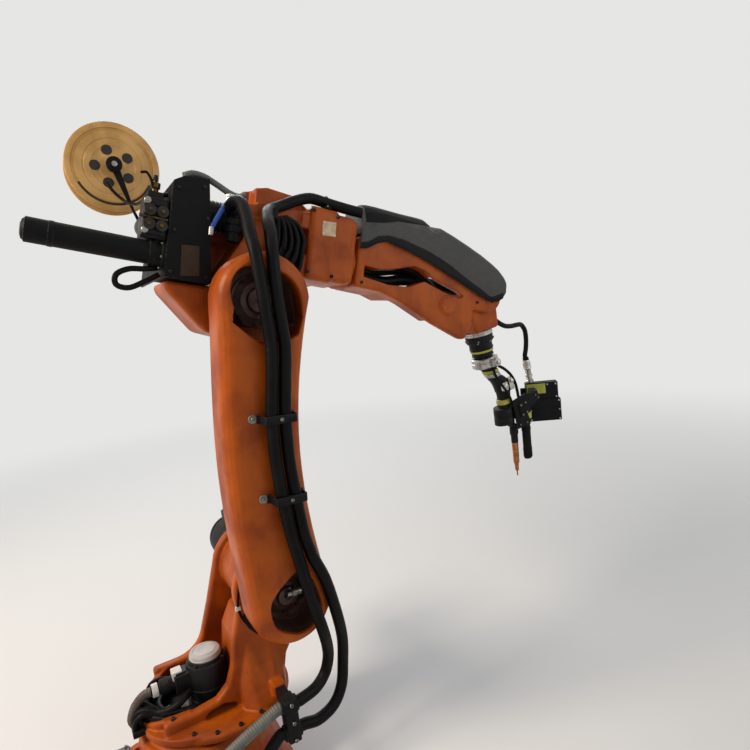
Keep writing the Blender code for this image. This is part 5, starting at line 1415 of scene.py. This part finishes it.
# rings of the torch's neck and drum: x, z, radius
torchNeck = (
    (-8, 91.5, 27), (-9, 97, 27), (-10, 98, 24), (-11, 101, 21.5), (-12.5, 106, 20.5), (-16, 115, 20),
    (-20, 125, 20), (-26, 131, 22.5), (-30, 136, 23.4), (-36, 143, 24), (-41, 155, 24), (-44, 168, 24),
    (-44, 176, 23), (-43.4, 180, 20.5), (-42, 195, 19), (-39, 210, 19), (-36, 221, 19), (-34, 222.2, 24),
    (-32, 223, 28.5), (-31.6, 227, 28.5), (-31, 229, 27.4), (-30.6, 231, 28.5), (-28.6, 250, 28.5),
    (-28, 252, 27.4), (-27.6, 254, 28.5), (-26, 269, 28.5), (-30, 271.5, 20), (-40, 273, 14), (-48, 282, 13),
    (-55, 291, 12),
)
neckRings = {
    "neckRingUpper": ("limePlastic", ((-11.6, 103, 22), (-11.8, 104, 23), (-14, 111.5, 22.8), (-14.6, 113, 21.4))),
    "neckRingSilver": ("turnedSteel", (
        (-15.5, 114.4, 21.8), (-16, 116, 22.4), (-19.4, 123.6, 22.4), (-20, 125.4, 21.6),
    )),
    "neckRingLower": ("limePlastic", (
        (-41.2, 199, 20), (-40.8, 200, 21.6), (-38.4, 211.4, 21.6), (-37.6, 213, 20.2),
    )),
}
nozzle = {
    "x": -55, "z": 292, "lean": 0.155,
    # how far down, radius
    "root": ((0, 11.5), (2, 12.4), (20, 12.4), (22, 11.5), (24, 10.4), (30, 10.2), (44, 10), (46, 9.8)),
    "copper": (
        (45.5, 9.2), (48, 9.3), (60, 9.1), (95, 8.7), (104, 8.6), (107, 8.2), (109, 6.2), (128, 5.4), (129.6, 4.6),
        (130, 2.2), (141, 2.0), (145, 1.7),
    ),
}


def makeToolParts():
    build("toolFlange", "tool", "turnedSteel", [
        (lathe, (
            (38.8, -12), (38.8, -9.5), (37.6, -9), (37.6, -7.5), (38.8, -7), (38.8, -1.8), (37.4, -0.1),
        ), "z", (0, 0, 0), 64),
    ], "tool_flange")
    build("breakawayMount", "tool", "motorPaint", [
        (lathe, (
            (38, 0.3), (38, 6), (37, 7), (37, 9), (38, 10), (38, 16), (35.5, 18.5), (33, 20), (33, 22.5),
            (31.8, 23.5), (31.8, 34), (33, 35), (33, 38), (31, 39), (28.6, 50), (28.6, 52), (30, 53), (30, 57),
            (27, 58), (26, 62.9),
        ), "z", (0, 0, 0), 56),
    ], "breakaway_mount")
    build("mountScrews", "tool", "zincScrew", [
        *[(screw, place, upward, 5.5, 3) for place in around((0, 0, 16.4), 34.5, 6, 20)],
        *[
            (screw, (x, y, 12.5), Vector((x, y, 0)).normalized(), 5, 2.2)
            for x, y, _ in around((0, 0, 0), 37.6, 4, 45)
        ],
    ])
    build("mountRing", "tool", "limePlastic", [
        (lathe, ((28, 40), (31.6, 41), (31.6, 46), (29.4, 47.2)), "z", (0, 0, 0), 48),
    ])

    # split clamp, its screw boss and the knob on its far end
    build("clampCollar", "tool", "turnedSteel", [
        (lathe, (
            (32, 63.4), (35, 66), (35, 72), (33.8, 73), (33.8, 76), (35, 77), (35, 88.5), (32, 91.2),
        ), "z", (0, 0, 0), 56),
        (box, (-14, -46, 67), (8, -30, 88), 2.5, 3),
        (lathe, ((9.5, -52), (11.6, -50.6), (11.6, -45), (9.6, -43)), "y", (-4, 0, 77.3), 10),
        (lathe, ((4.6, -57.6), (5.6, -57), (5.6, -51.6)), "y", (-4, 0, 77.3), 6),
        (box, (-44, -9, 68), (-33, 9, 87), 2.5, 3),
    ], "clamp_collar")

    # the torch's neck in its coloured rings, joint block and drum: (x, z, radius)
    build("torchNeck", "tool", "motorPaint", [(levelRings, torchNeck, 0, 40)], "torch_body")
    for name, (finish, rows) in neckRings.items():
        build(name, "tool", finish, [(levelRings, rows, 0, 40)])

    build("neckJoint", "tool", "turnedSteel", [
        (box, (-66, -26, 140), (-50, -14, 176), 2.5, 3),
        (box, (-40, -31, 146), (-22, -20, 170), 2.5, 3),
        (lathe, ((5, -35), (7.5, -34), (7.5, -29)), "y", (-31, 0, 158), 24),
        (lathe, ((4, -32), (6, -31), (6, -25)), "y", (-58, 0, 150), 6),
    ])
    build("neckHoses", "tool", "rubberCover", [
        (tube, (
            (-8, -27, 88), (-2, -30, 102), (-4, -33, 124), (-14, -34, 146), (-26, -33, 168), (-36, -31, 190),
            (-42, -28, 206), (-46, -24, 222),
        ), 3.6, 1.6, 12),
        (tube, (
            (-30, -20, 98), (-46, -22, 112), (-62, -24, 134), (-72, -24, 160), (-74, -24, 186), (-70, -28, 204),
        ), 4.2, 1.6, 12, 0.1, 2.6),
    ])

    # gas nozzle: black insulated root, then copper, then the contact tip with the wire
    root, copper = (
        [(nozzle["x"] + down * nozzle["lean"], nozzle["z"] + down, r) for down, r in nozzle[k]]
        for k in ("root", "copper")
    )
    build("nozzleRoot", "tool", "motorPaint", [(levelRings, root)])
    build("gasNozzle", "tool", "copperNozzle", [(levelRings, copper)], "torch_nozzle")


# the sensor box hangs turned on the bracket: a point of its own frame, in the tool's frame
sensor = {"place": (-186, 4, 263), "tilt": 9, "turn": 38}


def inSensor(x, y, z):
    tilt = Matrix.Rotation(math.radians(sensor["tilt"]), 3, "Y")
    turn = Matrix.Rotation(math.radians(sensor["turn"]), 3, "Z")
    return tilt @ turn @ Vector((x, y, z)) + Vector(sensor["place"])


def sensorBlock(bm, low, high, round=2.0, segments=3):
    box(bm, low, high, round, segments, inSensor)


def makeSensor():
    build("sensorBox", "tool", "mouldedNylon", [
        (sensorBlock, (-46, -15, -60), (46, 19, 0), 2.5),
        (sensorBlock, (-51.2, -19, -10), (42, 22.6, 55), 2.5),
        (sensorBlock, (36, -6, -45), (61, 6, -21), 1.2),
        (sensorBlock, (-48, -20.2, 14), (38, -18, 50), 1.0, 2),
        (sensorBlock, (-44, 22, -2), (34, 24.4, 48), 1.0, 2),
    ], "sensor_box")
    build("sensorLabel", "tool", "limePlastic", [(sensorBlock, (-10, -16.4, -57.5), (44, -14.6, -28), 0.7, 2)])
    front = inSensor(0, -1, 0) - Vector(sensor["place"])
    build("sensorScrews", "tool", "whiteNylon", [
        *[
            (screw, inSensor(x, -15, z), front, 4.6, 1.3)
            for x, z in ((-40, -54), (-40, -16), (-16, -54), (41, -18))
        ],
        *[
            (screw, inSensor(x, -19, z), front, 4.6, 1.3)
            for x, z in ((-46, -5), (36, -5), (-46, 50), (36, 50), (-46, 22), (36, 22))
        ],
    ])

    socket = inSensor(30, 2, -60)
    build("sensorPlug", "tool", "turnedSteel", [
        (lathe, (
            (8, 128), (9.5, 130), (10, 134), (11.4, 135), *ribs(12, 136, 1.5, 11.4, 10.7, 0), (11.4, 155),
            (9.6, 157), (8.6, 160), (8.6, 172), (10.4, 173), (10.4, 180), (8.6, 181), (8.6, 190), (10.6, 191),
            (10.6, 197.5),
        ), "z", (socket.x, socket.y, 0), 32),
    ], "sensor_plug")
    build("sensorHoseSleeve", "tool", "rubberCover", [
        (lathe, ((8, 121), (9, 122), (9, 130), (8, 131)), "z", (socket.x - 0.6, socket.y, 0), 28),
    ])


def makeToolBracket():
    build("toolBracket", "tool", "powderCoat", [
        (slab, (
            (-42, 206), (-92, 200), (-136, 210), (-146, 222), (-146, 232), (-104, 244), (-90, 292), (-42, 290),
        ), -34, -28, 1.5, 2),
        (box, (-80, -30, 226), (-56, 12, 267), 2.5, 2),
        (sensorBlock, (20, -66, -47), (40, -15.2, -25), 2, 2),
        (slab, ((-56, 218), (-86, 215), (-94, 234), (-84, 262), (-60, 262)), -37, -33, 1.2, 2),
    ], "tool_bracket")
    lean = math.tan(math.radians(sensor["tilt"]))
    rows = (
        (246, 13), (250, 13.4), (256, 13.4), (258, 12.6), (300, 12.6), (302, 13.4), (310, 13.4), (312, 12.4),
        (360, 12.2), (362, 13), (386, 13), (389, 12.2), (392, 10.4), (392.01, 8.2), (384, 8.0),
    )
    rows = [(-93 + (z - 246) * lean, z, r) for z, r in rows]
    build("secondTube", "tool", "powderCoat", [(levelRings, rows, -18)])
    build("bracketScrews", "tool", "zincScrew", [
        *[(screw, (x, -37, z), nearSide, 6, 3) for x, z in ((-64, 225), (-82, 223), (-66, 254), (-82, 251))],
        *[(screw, (x, -34, z), nearSide, 5, 2.4) for x, z in ((-128, 217), (-136, 227), (-52, 280), (-78, 282))],
    ])
    build("bracketTag", "tool", "limePlastic", [
        (slab, ((-101, 258), (-86, 258), (-90, 276), (-97, 276)), -35.2, -33.8, 0.4, 1),
    ])


makeForearmParts()
makeToolParts()
makeSensor()
makeToolBracket()
seatedScrews("forearmCollarScrews", "forearm", "forearm_casting", [
    (258, -95, -38), (258, -95, 48), (600, -95, 0), (600, -95, -30), (650, -95, -20), (640, -95, 20),
], farSide, 7)
seatedScrews("coverScrews", "forearm", "forearm_cover", [(270, 95, 80), (400, 95, 90)], nearSide, 7)
print("forearm and tool done")
